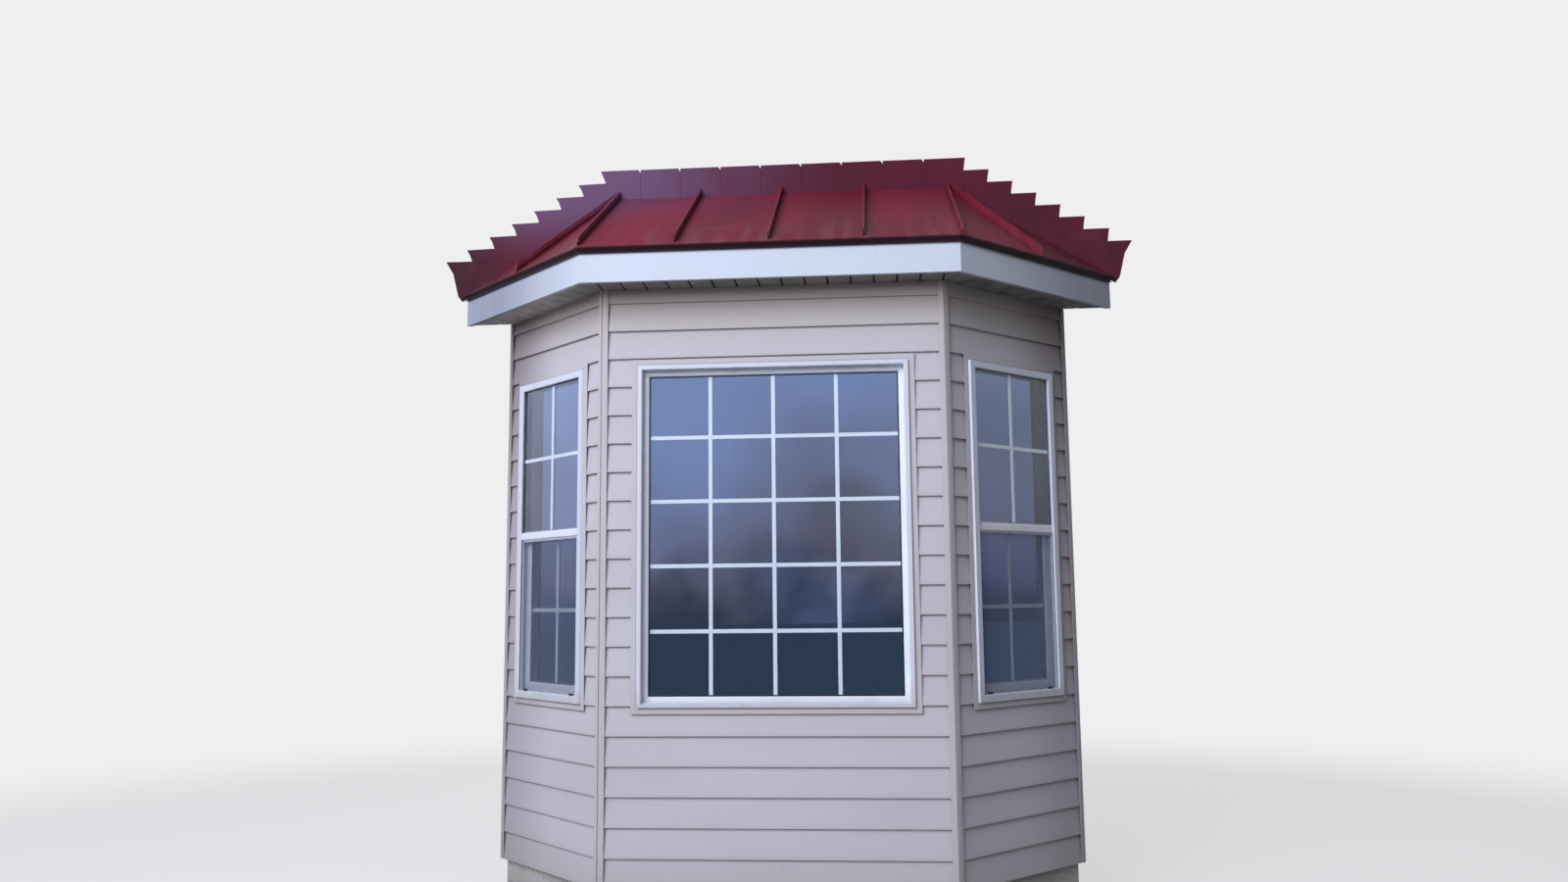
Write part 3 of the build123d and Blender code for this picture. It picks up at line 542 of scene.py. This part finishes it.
def sealed_unit(node):
    """Width, height and base of the glass unit in a sash."""
    low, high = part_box(node)
    stile, low_rail, high_rail = RAILS[SASHES[node][1]]
    width = across(low, high, SASH_THICKNESS) - 2 * (stile - GLASS_BITE)
    base = low.z + low_rail - GLASS_BITE
    return width, high.z - high_rail + GLASS_BITE - base, base


for node, (side, sash, columns, rows) in SASHES.items():
    width, height, base = sealed_unit(node)
    sizes = dict(GRILLE, Width=width, Height=height, Columns=columns, Rows=rows)
    middle = Matrix.Translation((0, UNIT_MIDDLE[sash], base + height / 2))
    bars = grown(node.replace("sash", "grille"), tree, sizes, window_place(side) @ middle)
    eased(bars, BAR_EASING)
    fitted(bars)

# Edge spacers
# Aluminium channel between the panes round every unit, which shows as a thin grey line
# just inside the sash.

SPACER_GREY = (0.55, 0.56, 0.57)
SPACER_SEAL = 0.004
SPACER_FACE = 0.008


def window_ring(shape, width, height, face, front, back, base):
    """Rectangular frame in a window's own axes, mitred at its corners."""
    levels = []
    for inset in (0, face):
        half = width / 2 - inset
        low, high = base + inset, base + height - inset
        for y in (front, back):
            corners = [(-half, y, low), (half, y, low), (half, y, high), (-half, y, high)]
            levels.append([shape.verts.new(corner) for corner in corners])
    outer_front, outer_back, inner_front, inner_back = levels
    walls = [(outer_front, inner_front), (inner_front, inner_back),
             (inner_back, outer_back), (outer_back, outer_front)]
    for one, other in walls:
        for i in range(4):
            j = (i + 1) % 4
            shape.faces.new((one[i], one[j], other[j], other[i]))


def made(name, shape, place, material):
    """An object of a finished shape, put in its place."""
    bmesh.ops.recalc_face_normals(shape, faces=shape.faces)
    mesh = bpy.data.meshes.new(name)
    shape.to_mesh(mesh)
    shape.free()
    mesh.materials.append(material)
    return put(name, mesh, place)


spacer_metal, tree, shader = new_finish("spacer aluminium", SPACER_GREY, roughness=0.4)
feed(tree, shader, {"Metallic": 1.0, "Normal": relief(tree, noise(tree, 0.003), 0.0002)})

for node, (side, sash, _, _) in SASHES.items():
    width, height, base = sealed_unit(node)
    reach = UNIT_THICKNESS / 2 - PANE
    shape = bmesh.new()
    window_ring(shape, width - 2 * SPACER_SEAL, height - 2 * SPACER_SEAL, SPACER_FACE,
                UNIT_MIDDLE[sash] - reach, UNIT_MIDDLE[sash] + reach, base + SPACER_SEAL)
    spacer = made(node.replace("sash", "spacer"), shape, window_place(side), spacer_metal)
    fitted(spacer)

# Half screens
# Charcoal glass-fibre cloth woven at 18 to the inch, held in the white frame's groove by
# a rubber spline.

CHARCOAL = (0.17, 0.20, 0.30)
SPLINE_GREY = (0.16, 0.16, 0.17)
SCREEN_WHITE = (0.66, 0.69, 0.76)
WIRE = 0.00018
WIRE_PITCH = 0.0014
SCREEN_FACE = 0.013
SCREEN_DEPTH = 0.008
SCREEN_MIDDLE = -0.008
SPLINE_INSET = 0.008
SPLINE_WIDTH = 0.003
SPLINE_PROUD = 0.0008
SPLINE_EASING = 0.0007

charcoal, tree, shader = new_finish("charcoal cloth", CHARCOAL, roughness=0.7)
feed(tree, shader, {"Normal": relief(tree, noise(tree, 0.001), 0.0001)})
spline_rubber, tree, shader = new_finish("grey spline rubber", SPLINE_GREY, roughness=0.6)
feed(tree, shader, {"Normal": relief(tree, noise(tree, 0.002), 0.0002)})

CLOTH = {"Width": 1.0, "Height": 1.0, "Pitch": WIRE_PITCH, "Wire": WIRE}
tree, size = new_tree("screen cloth", CLOTH)


def wires(length, span, along):
    """Parallel wires over a span, each one as long as the cloth is the other way."""
    count = sums(tree, "FLOOR", sums(tree, "DIVIDE", span, size["Pitch"]))
    start = times(tree, times(tree, count, size["Pitch"]), -0.5)
    points = add(tree, "GeometryNodeMeshLine", {
        "Count": plus(tree, count, 1.0),
        "Start Location": vector(tree, **{along: start}),
        "Offset": vector(tree, **{along: size["Pitch"]})}, mode="OFFSET")[0]
    other = "z" if along == "x" else "x"
    wire = add(tree, "GeometryNodeMeshCube", {
        "Size": vector(tree, **{along: size["Wire"], "y": size["Wire"], other: length})})[0]
    return add(tree, "GeometryNodeInstanceOnPoints", {"Points": points, "Instance": wire})[0]


warp = wires(size["Height"], size["Width"], "x")
weft = wires(size["Width"], size["Height"], "z")
weft = add(tree, "GeometryNodeTransform", {
    "Geometry": weft, "Translation": vector(tree, y=size["Wire"])})[0]
end_tree(tree, charcoal, warp, weft)

for side in ("left", "right"):
    low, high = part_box(side + "_screen")
    width = across(low, high, SCREEN_DEPTH)
    height = high.z - low.z
    sizes = dict(CLOTH, Width=width - 2 * SCREEN_FACE, Height=height - 2 * SCREEN_FACE)
    middle = Matrix.Translation((0, SCREEN_MIDDLE, (low.z + high.z) / 2))
    fitted(grown(side + "_screen_cloth", tree, sizes, window_place(side) @ middle))
    shape = bmesh.new()
    front = SCREEN_MIDDLE - SCREEN_DEPTH / 2
    window_ring(shape, width - 2 * SPLINE_INSET, height - 2 * SPLINE_INSET, SPLINE_WIDTH,
                front - SPLINE_PROUD, front, low.z + SPLINE_INSET)
    spline = made(side + "_screen_spline", shape, window_place(side), spline_rubber)
    eased(spline, SPLINE_EASING)
    fitted(spline)

screen_enamel, tree, shader = new_finish("screen frame enamel", SCREEN_WHITE, roughness=0.4)
feed(tree, shader, {"Normal": relief(tree, noise(tree, 0.03), 0.0003)})
finish_nodes(screen_enamel, "left_screen", "right_screen")

# Screen latches
# Two black nylon latches at the foot of each screen: a slide with a raised grip, held by
# a round-headed rivet.

NYLON = (0.03, 0.03, 0.032)
LATCH = (0.030, 0.004, 0.011)
LATCH_INSET = 0.064
LATCH_RISE = 0.002
LATCH_EASING = 0.001
GRIP = (0.010, 0.003, 0.009)
GRIP_SHIFT = -0.25
RIVET = 0.0035
RIVET_SHIFT = 0.28
RIVET_FLATNESS = 0.4


def block(shape, centre, size):
    """One box of a piece, by its centre and size."""
    box = bmesh.ops.create_cube(shape, size=1.0)["verts"]
    bmesh.ops.scale(shape, vec=size, verts=box)
    bmesh.ops.translate(shape, vec=centre, verts=box)


nylon, tree, shader = new_finish("black nylon", NYLON, roughness=0.5)
feed(tree, shader, {"Normal": relief(tree, noise(tree, 0.002), 0.0002)})

for side in ("left", "right"):
    low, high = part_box(side + "_screen")
    reach = across(low, high, SCREEN_DEPTH) / 2 - LATCH_INSET
    front = SCREEN_MIDDLE - SCREEN_DEPTH / 2
    level = low.z + SCREEN_FACE + LATCH_RISE
    shape = bmesh.new()
    for x in (-reach, reach):
        block(shape, (x, front - LATCH[1] / 2, level), LATCH)
        block(shape, (x + LATCH[0] * GRIP_SHIFT, front - LATCH[1] - GRIP[1] / 2, level), GRIP)
        rivet = bmesh.ops.create_uvsphere(shape, u_segments=16, v_segments=8,
                                          radius=RIVET)["verts"]
        bmesh.ops.scale(shape, vec=(1, RIVET_FLATNESS, 1), verts=rivet)
        bmesh.ops.translate(shape, vec=(x + LATCH[0] * RIVET_SHIFT, front - LATCH[1], level),
                            verts=rivet)
    latches = made(side + "_screen_latches", shape, window_place(side), nylon)
    eased(latches, LATCH_EASING)
    fitted(latches)

# Sash locks and lifts
# White die-cast cam locks and their keepers where the two sashes meet, tilt latches at
# the ends of the lower sash's top rail, and a finger lift along its foot.

DIE_CAST = (0.78, 0.78, 0.77)
LOWER_FACE = 0.018
UPPER_FACE = -0.019
LOCK_BASE = (0.062, 0.018, 0.004)
LOCK_HUB = 0.009
LOCK_HUB_TOP = 0.85
LEVER = (0.046, 0.009, 0.004)
LEVER_SHIFT = (0.4, 0.35)
KEEPER = (0.052, 0.014, 0.006)
KEEPER_SHIFT = 0.006
TILT_LATCH = (0.036, 0.014, 0.005)
LOCK_EASING = 0.0012
LIFT_SHARE = 0.86
LIFT_REACH = 0.009
LIFT_DROP = 0.006
LIFT_LIP_DROP = 0.010
LIFT_SHEET = 0.003
LIFT_LIP = 0.008
LIFT_EASING = 0.001

die_cast, tree, shader = new_finish("white die-cast enamel", DIE_CAST, roughness=0.35)
feed(tree, shader, {"Normal": relief(tree, noise(tree, 0.01), 0.0002)})

for side in ("left", "right"):
    low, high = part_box(side + "_lower_sash")
    width = across(low, high, SASH_THICKNESS)
    rail = LOWER_FACE + SASH_THICKNESS / 2
    upper_rail = UPPER_FACE + SASH_THICKNESS / 2
    shape = bmesh.new()
    block(shape, (0, rail, high.z + LOCK_BASE[2] / 2), LOCK_BASE)
    hub = bmesh.ops.create_cone(shape, cap_ends=True, segments=20, radius1=LOCK_HUB,
                                radius2=LOCK_HUB * LOCK_HUB_TOP, depth=LOCK_BASE[2])["verts"]
    bmesh.ops.translate(shape, vec=(0, rail, high.z + LOCK_BASE[2] * 1.5), verts=hub)
    block(shape, (LEVER[0] * LEVER_SHIFT[0], rail + LEVER[1] * LEVER_SHIFT[1],
                  high.z + LOCK_BASE[2] * 2.2), LEVER)
    block(shape, (0, upper_rail + KEEPER_SHIFT, high.z + KEEPER[2] / 2), KEEPER)
    reach = width / 2 - TILT_LATCH[0] * 0.7
    for x in (-reach, reach):
        block(shape, (x, rail, high.z + TILT_LATCH[2] / 2), TILT_LATCH)
    locks = made(side + "_sash_locks", shape, window_place(side), die_cast)
    eased(locks, LOCK_EASING)
    fitted(locks)
    shape = bmesh.new()
    inside = LOWER_FACE + SASH_THICKNESS
    top = low.z + BOTTOM_RAIL
    block(shape, (0, inside + LIFT_REACH / 2, top - LIFT_DROP),
          (width * LIFT_SHARE, LIFT_REACH, LIFT_SHEET))
    block(shape, (0, inside + LIFT_REACH - LIFT_SHEET / 2, top - LIFT_LIP_DROP),
          (width * LIFT_SHARE, LIFT_SHEET, LIFT_LIP))
    lift = made(side + "_sash_lift", shape, window_place(side), recess_lit_vinyl)
    eased(lift, LIFT_EASING)
    fitted(lift)

# Inside sill boards
# Painted pine boards on the bottom of each opening, semi-gloss, with brush marks along
# their length.

SILL_PAINT = (0.74, 0.74, 0.71)
SILL_WORN = (0.69, 0.68, 0.64)

sill_paint, tree, shader = new_finish("painted sill board", SILL_PAINT, roughness=0.35)
brush = noise(tree, 0.004, (0.05, 0.05, 1), 3.0)
colour = mixed(tree, rise(tree, noise(tree, 0.2), 0.3, 0.7), SILL_PAINT, SILL_WORN)
feed(tree, shader, {"Base Color": colour, "Normal": relief(tree, brush, 0.0002)})
finish_nodes(sill_paint, "window_stools")

# Soffit
# Vinyl panels with a V groove every four inches, gone brown and grey-green with mildew
# where they never dry. The left end is lighter, which is painted light, and the grooves
# are darkened as painted shade.

SOFFIT = (0.27, 0.245, 0.23)
SOFFIT_CLOUD = (0.25, 0.23, 0.21)
SOFFIT_LIT_LEFT = (0.56, 0.53, 0.52)
LIT_LEFT_RANGE = (-0.7, -1.2)
MILDEW = (0.13, 0.135, 0.085)
MILDEW_RANGE = (0.2, 1.3)
GROOVE_SHADE = (0.03, 0.03, 0.025)
GROOVE_SHADE_RANGE = (0.001, 0.006)

soffit_vinyl, tree, shader = new_finish("soffit vinyl", SOFFIT, roughness=0.6)
spots = noise(tree, 0.07, detail=8.0)
cloud = noise(tree, 0.4)
spot = position(tree)
shaded = rise(tree, spot["X"], *MILDEW_RANGE)
mildew = times(tree, rise(tree, spots, 0.42, 0.62), plus(tree, times(tree, shaded, 0.6), 0.25))
colour = mixed(tree, rise(tree, cloud, 0.35, 0.65), SOFFIT, SOFFIT_CLOUD)
# Painted light: the soffit is lighter towards the left end.
colour = mixed(tree, rise(tree, spot["X"], *LIT_LEFT_RANGE), colour, SOFFIT_LIT_LEFT)
colour = mixed(tree, mildew, colour, MILDEW)
soffit_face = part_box("soffit")[0].z
# Painted shade: the V grooves darken with their depth.
groove_shade = rise(tree, spot["Z"], *(soffit_face + depth for depth in GROOVE_SHADE_RANGE))
colour = mixed(tree, groove_shade, colour, GROOVE_SHADE)
feed(tree, shader, {"Base Color": colour, "Normal": relief(tree, noise(tree, 0.004), 0.0002)})
finish_nodes(soffit_vinyl, "soffit")

# Fascia
# Boards wrapped in white coil stock that was bent on site. The thin sheet is never quite
# flat and is held near its top edge by small painted nails. It darkens towards the ends,
# which is painted shade on the side boards.

FASCIA = (0.60, 0.66, 0.76)
FASCIA_SIDE_SHADE = (0.26, 0.285, 0.345)
FASCIA_MIDDLE = 0.07
FASCIA_SHADE_RANGE = (0.75, 1.5)
FASCIA_CLOUD = (0.55, 0.58, 0.62)
FASCIA_STREAK = (0.42, 0.41, 0.40)
FASCIA_SPECK = (0.34, 0.32, 0.30)
NAIL_SPACING = 0.61
NAIL_RADIUS = 0.0028
NAIL_FLATNESS = 0.35
NAIL_INSET = 0.012
NAIL_MARGIN = 0.05

coil, tree, shader = new_finish("white coil stock", FASCIA, roughness=0.38)
cloud = noise(tree, 0.25, (1, 1, 0.35))
streak = noise(tree, 0.02, (1, 1, 0.06), 3.0)
spots = noise(tree, 0.012, detail=2.0)
end = sums(tree, "ABSOLUTE", sums(tree, "SUBTRACT", position(tree)["X"], FASCIA_MIDDLE))
# Painted shade: the fascia darkens towards its ends, on the side boards.
colour = mixed(tree, rise(tree, end, *FASCIA_SHADE_RANGE), FASCIA, FASCIA_SIDE_SHADE)
colour = mixed(tree, times(tree, rise(tree, cloud, 0.35, 0.7), 0.2), colour, FASCIA_CLOUD)
colour = mixed(tree, times(tree, rise(tree, streak, 0.6, 0.8), 0.25), colour, FASCIA_STREAK)
colour = mixed(tree, times(tree, rise(tree, spots, 0.72, 0.8), 0.5), colour, FASCIA_SPECK)
waves = relief(tree, noise(tree, 0.35, (1, 1, 0.5), 1.0), 0.004)
feed(tree, shader, {"Base Color": colour, "Normal": waves})
finish_nodes(coil, "left_fascia", "front_fascia", "right_fascia")

NAILS = {"Length": 1.0, "Spacing": NAIL_SPACING, "Head Radius": NAIL_RADIUS}
tree, size = new_tree("trim nails", NAILS)
count = sums(tree, "FLOOR", sums(tree, "DIVIDE", size["Length"], size["Spacing"]))
points = add(tree, "GeometryNodeMeshLine", {
    "Count": plus(tree, count, 1.0),
    "Start Location": vector(tree, times(tree, times(tree, count, size["Spacing"]), -0.5)),
    "Offset": vector(tree, size["Spacing"])}, mode="OFFSET")[0]
head = add(tree, "GeometryNodeMeshUVSphere", {"Segments": 12, "Rings": 6,
                                              "Radius": size["Head Radius"]})[0]
heads = add(tree, "GeometryNodeInstanceOnPoints", {
    "Points": points, "Instance": head, "Scale": (1, NAIL_FLATNESS, 1)})[0]
end_tree(tree, coil, heads)

for side in TURN:
    low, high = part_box(side + "_fascia")
    face = window_place(side)
    along, inwards = (face.to_3x3() @ Vector(axis) for axis in ((1, 0, 0), (0, 1, 0)))
    length = (high.x - low.x) / abs(along.x)
    if side == "front":
        corner, middle = Vector((0, low.y, 0)), 0.0
    else:
        corner = Vector((low.x if side == "left" else high.x, high.y, 0))
        middle = ((low + high) / 2 - face.translation).dot(along)
    out = (corner - face.translation).dot(inwards)
    place = face @ Matrix.Translation((middle, out, high.z - NAIL_INSET))
    sizes = dict(NAILS, Length=length - 2 * NAIL_MARGIN)
    fitted(grown(side + "_fascia_nails", tree, sizes, place))

# Standing-seam roof and flashing
# Dark red enamelled sheet, folded together at the ribs and never quite flat between
# them. Rain has drawn the dust near the eave into streaks. A purple sheen towards the
# left is painted reflection, and painted shade darkens the fold under the eave and the
# back ends.

ROOF_RED = (0.158, 0.014, 0.029)
FLASHING_RED = (0.076, 0.010, 0.022)
ROOF_FADING = 1.45
ROOF_DUST = (0.27, 0.12, 0.13)
DUST_TOP = 0.30
ROOF_PAINTED_SHEEN = (0.165, 0.105, 0.21)
SHEEN_ACROSS = (0.7, -0.6)
SHEEN_UP = (0.14, 0.48)
ROOF_PAINTED_SHADE = (0.022, 0.006, 0.010)
FOLD_SHADE_RANGE = (-0.002, -0.006)
END_SHADE_RANGE = (1.2, 1.7)
PAN_END_SHIFT = 0.25
EAVE_EDGE = 0.030
eave_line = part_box("front_roof_pan_2")[0].z + EAVE_EDGE


def roof_enamel(name, red, dust, sheen, gloss, both_ends):
    """Red enamel, with dust towards the eave and a painted purple sheen towards the left.

    Painted shade darkens its back ends, both of them or the left one alone, and the fold
    under the eave. Heights are above the eave line.
    """
    material, tree, shader = new_finish(name, red, roughness=0.36)
    spot = position(tree)
    height = sums(tree, "SUBTRACT", spot["Z"], eave_line)
    cloud = noise(tree, 0.45, (1, 0.6, 0.6))
    fall = rise(tree, height, DUST_TOP, 0.0)
    streak = noise(tree, 0.05, (1, 0.08, 0.08), 3.0)
    faded = tuple(ROOF_FADING * part for part in red)
    paint = mixed(tree, rise(tree, cloud, 0.35, 0.7), red, faded)
    share = times(tree, times(tree, fall, dust), rise(tree, streak, 0.35, 0.75))
    paint = mixed(tree, share, paint, ROOF_DUST)
    smudge = rise(tree, noise(tree, 0.16, detail=2.0), 0.62, 0.8)
    paint = mixed(tree, times(tree, times(tree, smudge, fall), 0.35), paint, ROOF_DUST)
    # Painted reflection: a purple sheen towards the left, higher up.
    sheen_mask = rise(tree, plus(tree, spot["X"], times(tree, cloud, 0.8)), *SHEEN_ACROSS)
    sheen_mask = times(tree, sheen_mask, rise(tree, height, *SHEEN_UP))
    paint = mixed(tree, times(tree, sheen_mask, sheen), paint, ROOF_PAINTED_SHEEN)
    away = times(tree, spot["X"], -1.0)
    if both_ends:
        away = plus(tree, sums(tree, "ABSOLUTE", away), PAN_END_SHIFT)
    # Painted shade at the back ends.
    paint = mixed(tree, times(tree, rise(tree, away, *END_SHADE_RANGE), 0.55), paint, ROOF_PAINTED_SHADE)
    # Painted shade under the fold at the eave.
    paint = mixed(tree, rise(tree, height, *FOLD_SHADE_RANGE), paint, ROOF_PAINTED_SHADE)
    wave = relief(tree, noise(tree, 0.22, (1, 0.7, 0.7), 1.0), 0.004)
    fine = relief(tree, noise(tree, 0.003, detail=2.0), 0.00008, wave)
    feed(tree, shader, {"Base Color": paint, "Normal": fine, "Specular IOR Level": gloss,
                        "Roughness": rise(tree, cloud, -0.9, 2.0)})
    return material


finish_nodes(roof_enamel("roof enamel", ROOF_RED, dust=0.3, sheen=0.35, gloss=0.5,
                         both_ends=True),
             "front_roof_pan_1", "front_roof_pan_2", "front_roof_pan_3", "front_roof_pan_4",
             "left_roof_pans", "right_roof_pans")
finish_nodes(roof_enamel("flashing enamel", FLASHING_RED, dust=0.05, sheen=0.65, gloss=0.2,
                         both_ends=False),
             "flashing_top", "flashing_left", "flashing_right")

# Studio
# A plain pale floor without a horizon, a large soft lamp high in front on the left, a
# weaker one behind, pale and dark cards for the glass to mirror, and the camera.

FLOOR_HALF = 60.0
FLOOR_DROP = 0.0005
FLOOR_SEEN = (0.80, 0.80, 0.80)
FLOOR_BOUNCE = (0.30, 0.29, 0.28)
FLOOR_FADE = (1.5, 9.0)
FLOOR_GLOW = 0.62
BLACK = (0, 0, 0)
PALE = (0.86, 0.86, 0.87)
ROOM_LOW = (0.13, 0.155, 0.20)
ROOM_MIDDLE = (0.72, 0.70, 0.90)
ROOM_CARD = (1.0, 1.18, 1.6)
ROOM_HIGH = (0.22, 0.22, 0.26)
ROOM_FLOOR = (0.145, 0.205, 0.265)
CARD_RAGGED = 0.5
CARD_WAVES = 5.0
FRONT_LIGHT = (0.43, 0.435, 0.50)
BACK_LIGHT = (0.08, 0.08, 0.09)
SIDE_LIGHT = (0.12, 0.12, 0.15)
REAR_LIGHT = (0.36, 0.36, 0.38)
SIDE_SHADE = (0.55, 0.52, 0.36)
LENS = 27.557
SENSOR_WIDTH = 36
FAR_CLIP = 200
CAMERA = (0.4602, -5.41875, 1.4745)
YAW, PITCH, ROLL = -0.078571, 0.128709, -0.009935

floor_finish, tree, shader = new_finish("studio floor", PALE, roughness=0.9)
rays = add(tree, "ShaderNodeLightPath")
seen = rays["Is Camera Ray"]
spot = position(tree)
distance = sums(tree, "SQRT", plus(tree, sums(tree, "POWER", spot["X"], 2.0),
                                   sums(tree, "POWER", spot["Y"], 2.0)))
far = sums(tree, "MAXIMUM", rise(tree, distance, *FLOOR_FADE), FLOOR_GLOW)
far = times(tree, far, seen)
colour = mixed(tree, seen, FLOOR_BOUNCE, FLOOR_SEEN)
glow = sums(tree, "MAXIMUM", far, rays["Is Glossy Ray"])
feed(tree, shader, {"Base Color": mixed(tree, glow, colour, BLACK),
                    "Emission Color": mixed(tree, seen, ROOM_FLOOR, PALE),
                    "Emission Strength": glow, "Specular IOR Level": 0.0})
shape = bmesh.new()
corners = [(-FLOOR_HALF, -FLOOR_HALF), (FLOOR_HALF, -FLOOR_HALF), (FLOOR_HALF, FLOOR_HALF),
           (-FLOOR_HALF, FLOOR_HALF)]
shape.faces.new([shape.verts.new((x, y, -FLOOR_DROP)) for x, y in corners])
floor = made("studio_floor", shape, Matrix(), floor_finish)

world = bpy.data.worlds.new("studio")
world.use_nodes = True
bpy.context.scene.world = world
tree = world.node_tree
rays = add(tree, "ShaderNodeLightPath")
skyward = add(tree, "ShaderNodeSeparateXYZ", {0: add(tree, "ShaderNodeTexCoord")["Generated"]})
low_right = times(tree, rise(tree, skyward["X"], -0.1, 0.7),
                  rise(tree, skyward["Z"], 0.85, 0.4))
glow = mixed(tree, low_right, FRONT_LIGHT, SIDE_LIGHT)
glow = mixed(tree, rise(tree, skyward["Y"], -0.5, 0.3), glow, BACK_LIGHT)
rear = times(tree, rise(tree, skyward["Y"], 0.5, 0.8),
             sums(tree, "SUBTRACT", 1.0, rays["Is Transmission Ray"]))
glow = mixed(tree, rear, glow, REAR_LIGHT)
glow = mixed(tree, rays["Is Camera Ray"], glow, PALE)
card_height = add(tree, "ShaderNodeTexNoise", {
    "Vector": add(tree, "ShaderNodeTexCoord")["Generated"], "Scale": CARD_WAVES,
    "Detail": 6.0})[0]
card_height = plus(tree, skyward["Z"], times(tree, card_height, -CARD_RAGGED))
card_height = plus(tree, card_height, CARD_RAGGED / 2)
card = mixed(tree, rise(tree, card_height, -0.03, 0.05), ROOM_LOW, ROOM_MIDDLE)
card = mixed(tree, rise(tree, card_height, 0.04, 0.18), card, ROOM_CARD)
room = mixed(tree, rise(tree, skyward["Z"], 0.3, 0.6), card, ROOM_HIGH)
room = mixed(tree, rise(tree, skyward["X"], 0.3, 0.7), room, SIDE_SHADE, "MULTIPLY")
glow = mixed(tree, rays["Is Glossy Ray"], glow, room)
feed(tree, tree.nodes["Background"].inputs, {"Color": glow, "Strength": 1.0})


def lamp(name, spot, target, size, power, colour):
    """A square soft lamp that looks at a point."""
    light = bpy.data.lights.new(name, "AREA")
    light.size = size
    light.energy = power
    light.color = colour
    holder = bpy.data.objects.new(name, light)
    holder.location = spot
    holder.rotation_euler = (Vector(target) - Vector(spot)).to_track_quat("-Z", "Y").to_euler()
    holder.visible_camera = holder.visible_glossy = holder.visible_transmission = False
    bpy.context.scene.collection.objects.link(holder)


lamp("front lamp", spot=(-3.8, -7.6, 6.2), target=(0, 0, 1.9), size=6.5, power=900,
     colour=(0.94, 0.955, 1.06))
lamp("back lamp", spot=(0.0, 8.0, 6.5), target=(0, 0, 1.8), size=5.0, power=260,
     colour=(1.0, 1.0, 1.0))

camera = bpy.data.cameras.new("camera")
camera.lens = LENS
camera.sensor_width = SENSOR_WIDTH
camera.sensor_fit = "HORIZONTAL"
camera.clip_end = FAR_CLIP
holder = bpy.data.objects.new("camera", camera)
forward = Vector((math.sin(YAW) * math.cos(PITCH), math.cos(YAW) * math.cos(PITCH),
                  math.sin(PITCH)))
level = Vector((math.cos(YAW), -math.sin(YAW), 0))
upright = level.cross(forward)
right = math.cos(ROLL) * level + math.sin(ROLL) * upright
top = -math.sin(ROLL) * level + math.cos(ROLL) * upright
axes = Matrix((right, top, -forward)).transposed().to_4x4()
holder.matrix_world = Matrix.Translation(CAMERA) @ axes
bpy.context.scene.collection.objects.link(holder)
bpy.context.scene.camera = holder
bpy.context.scene.view_settings.view_transform = "Standard"
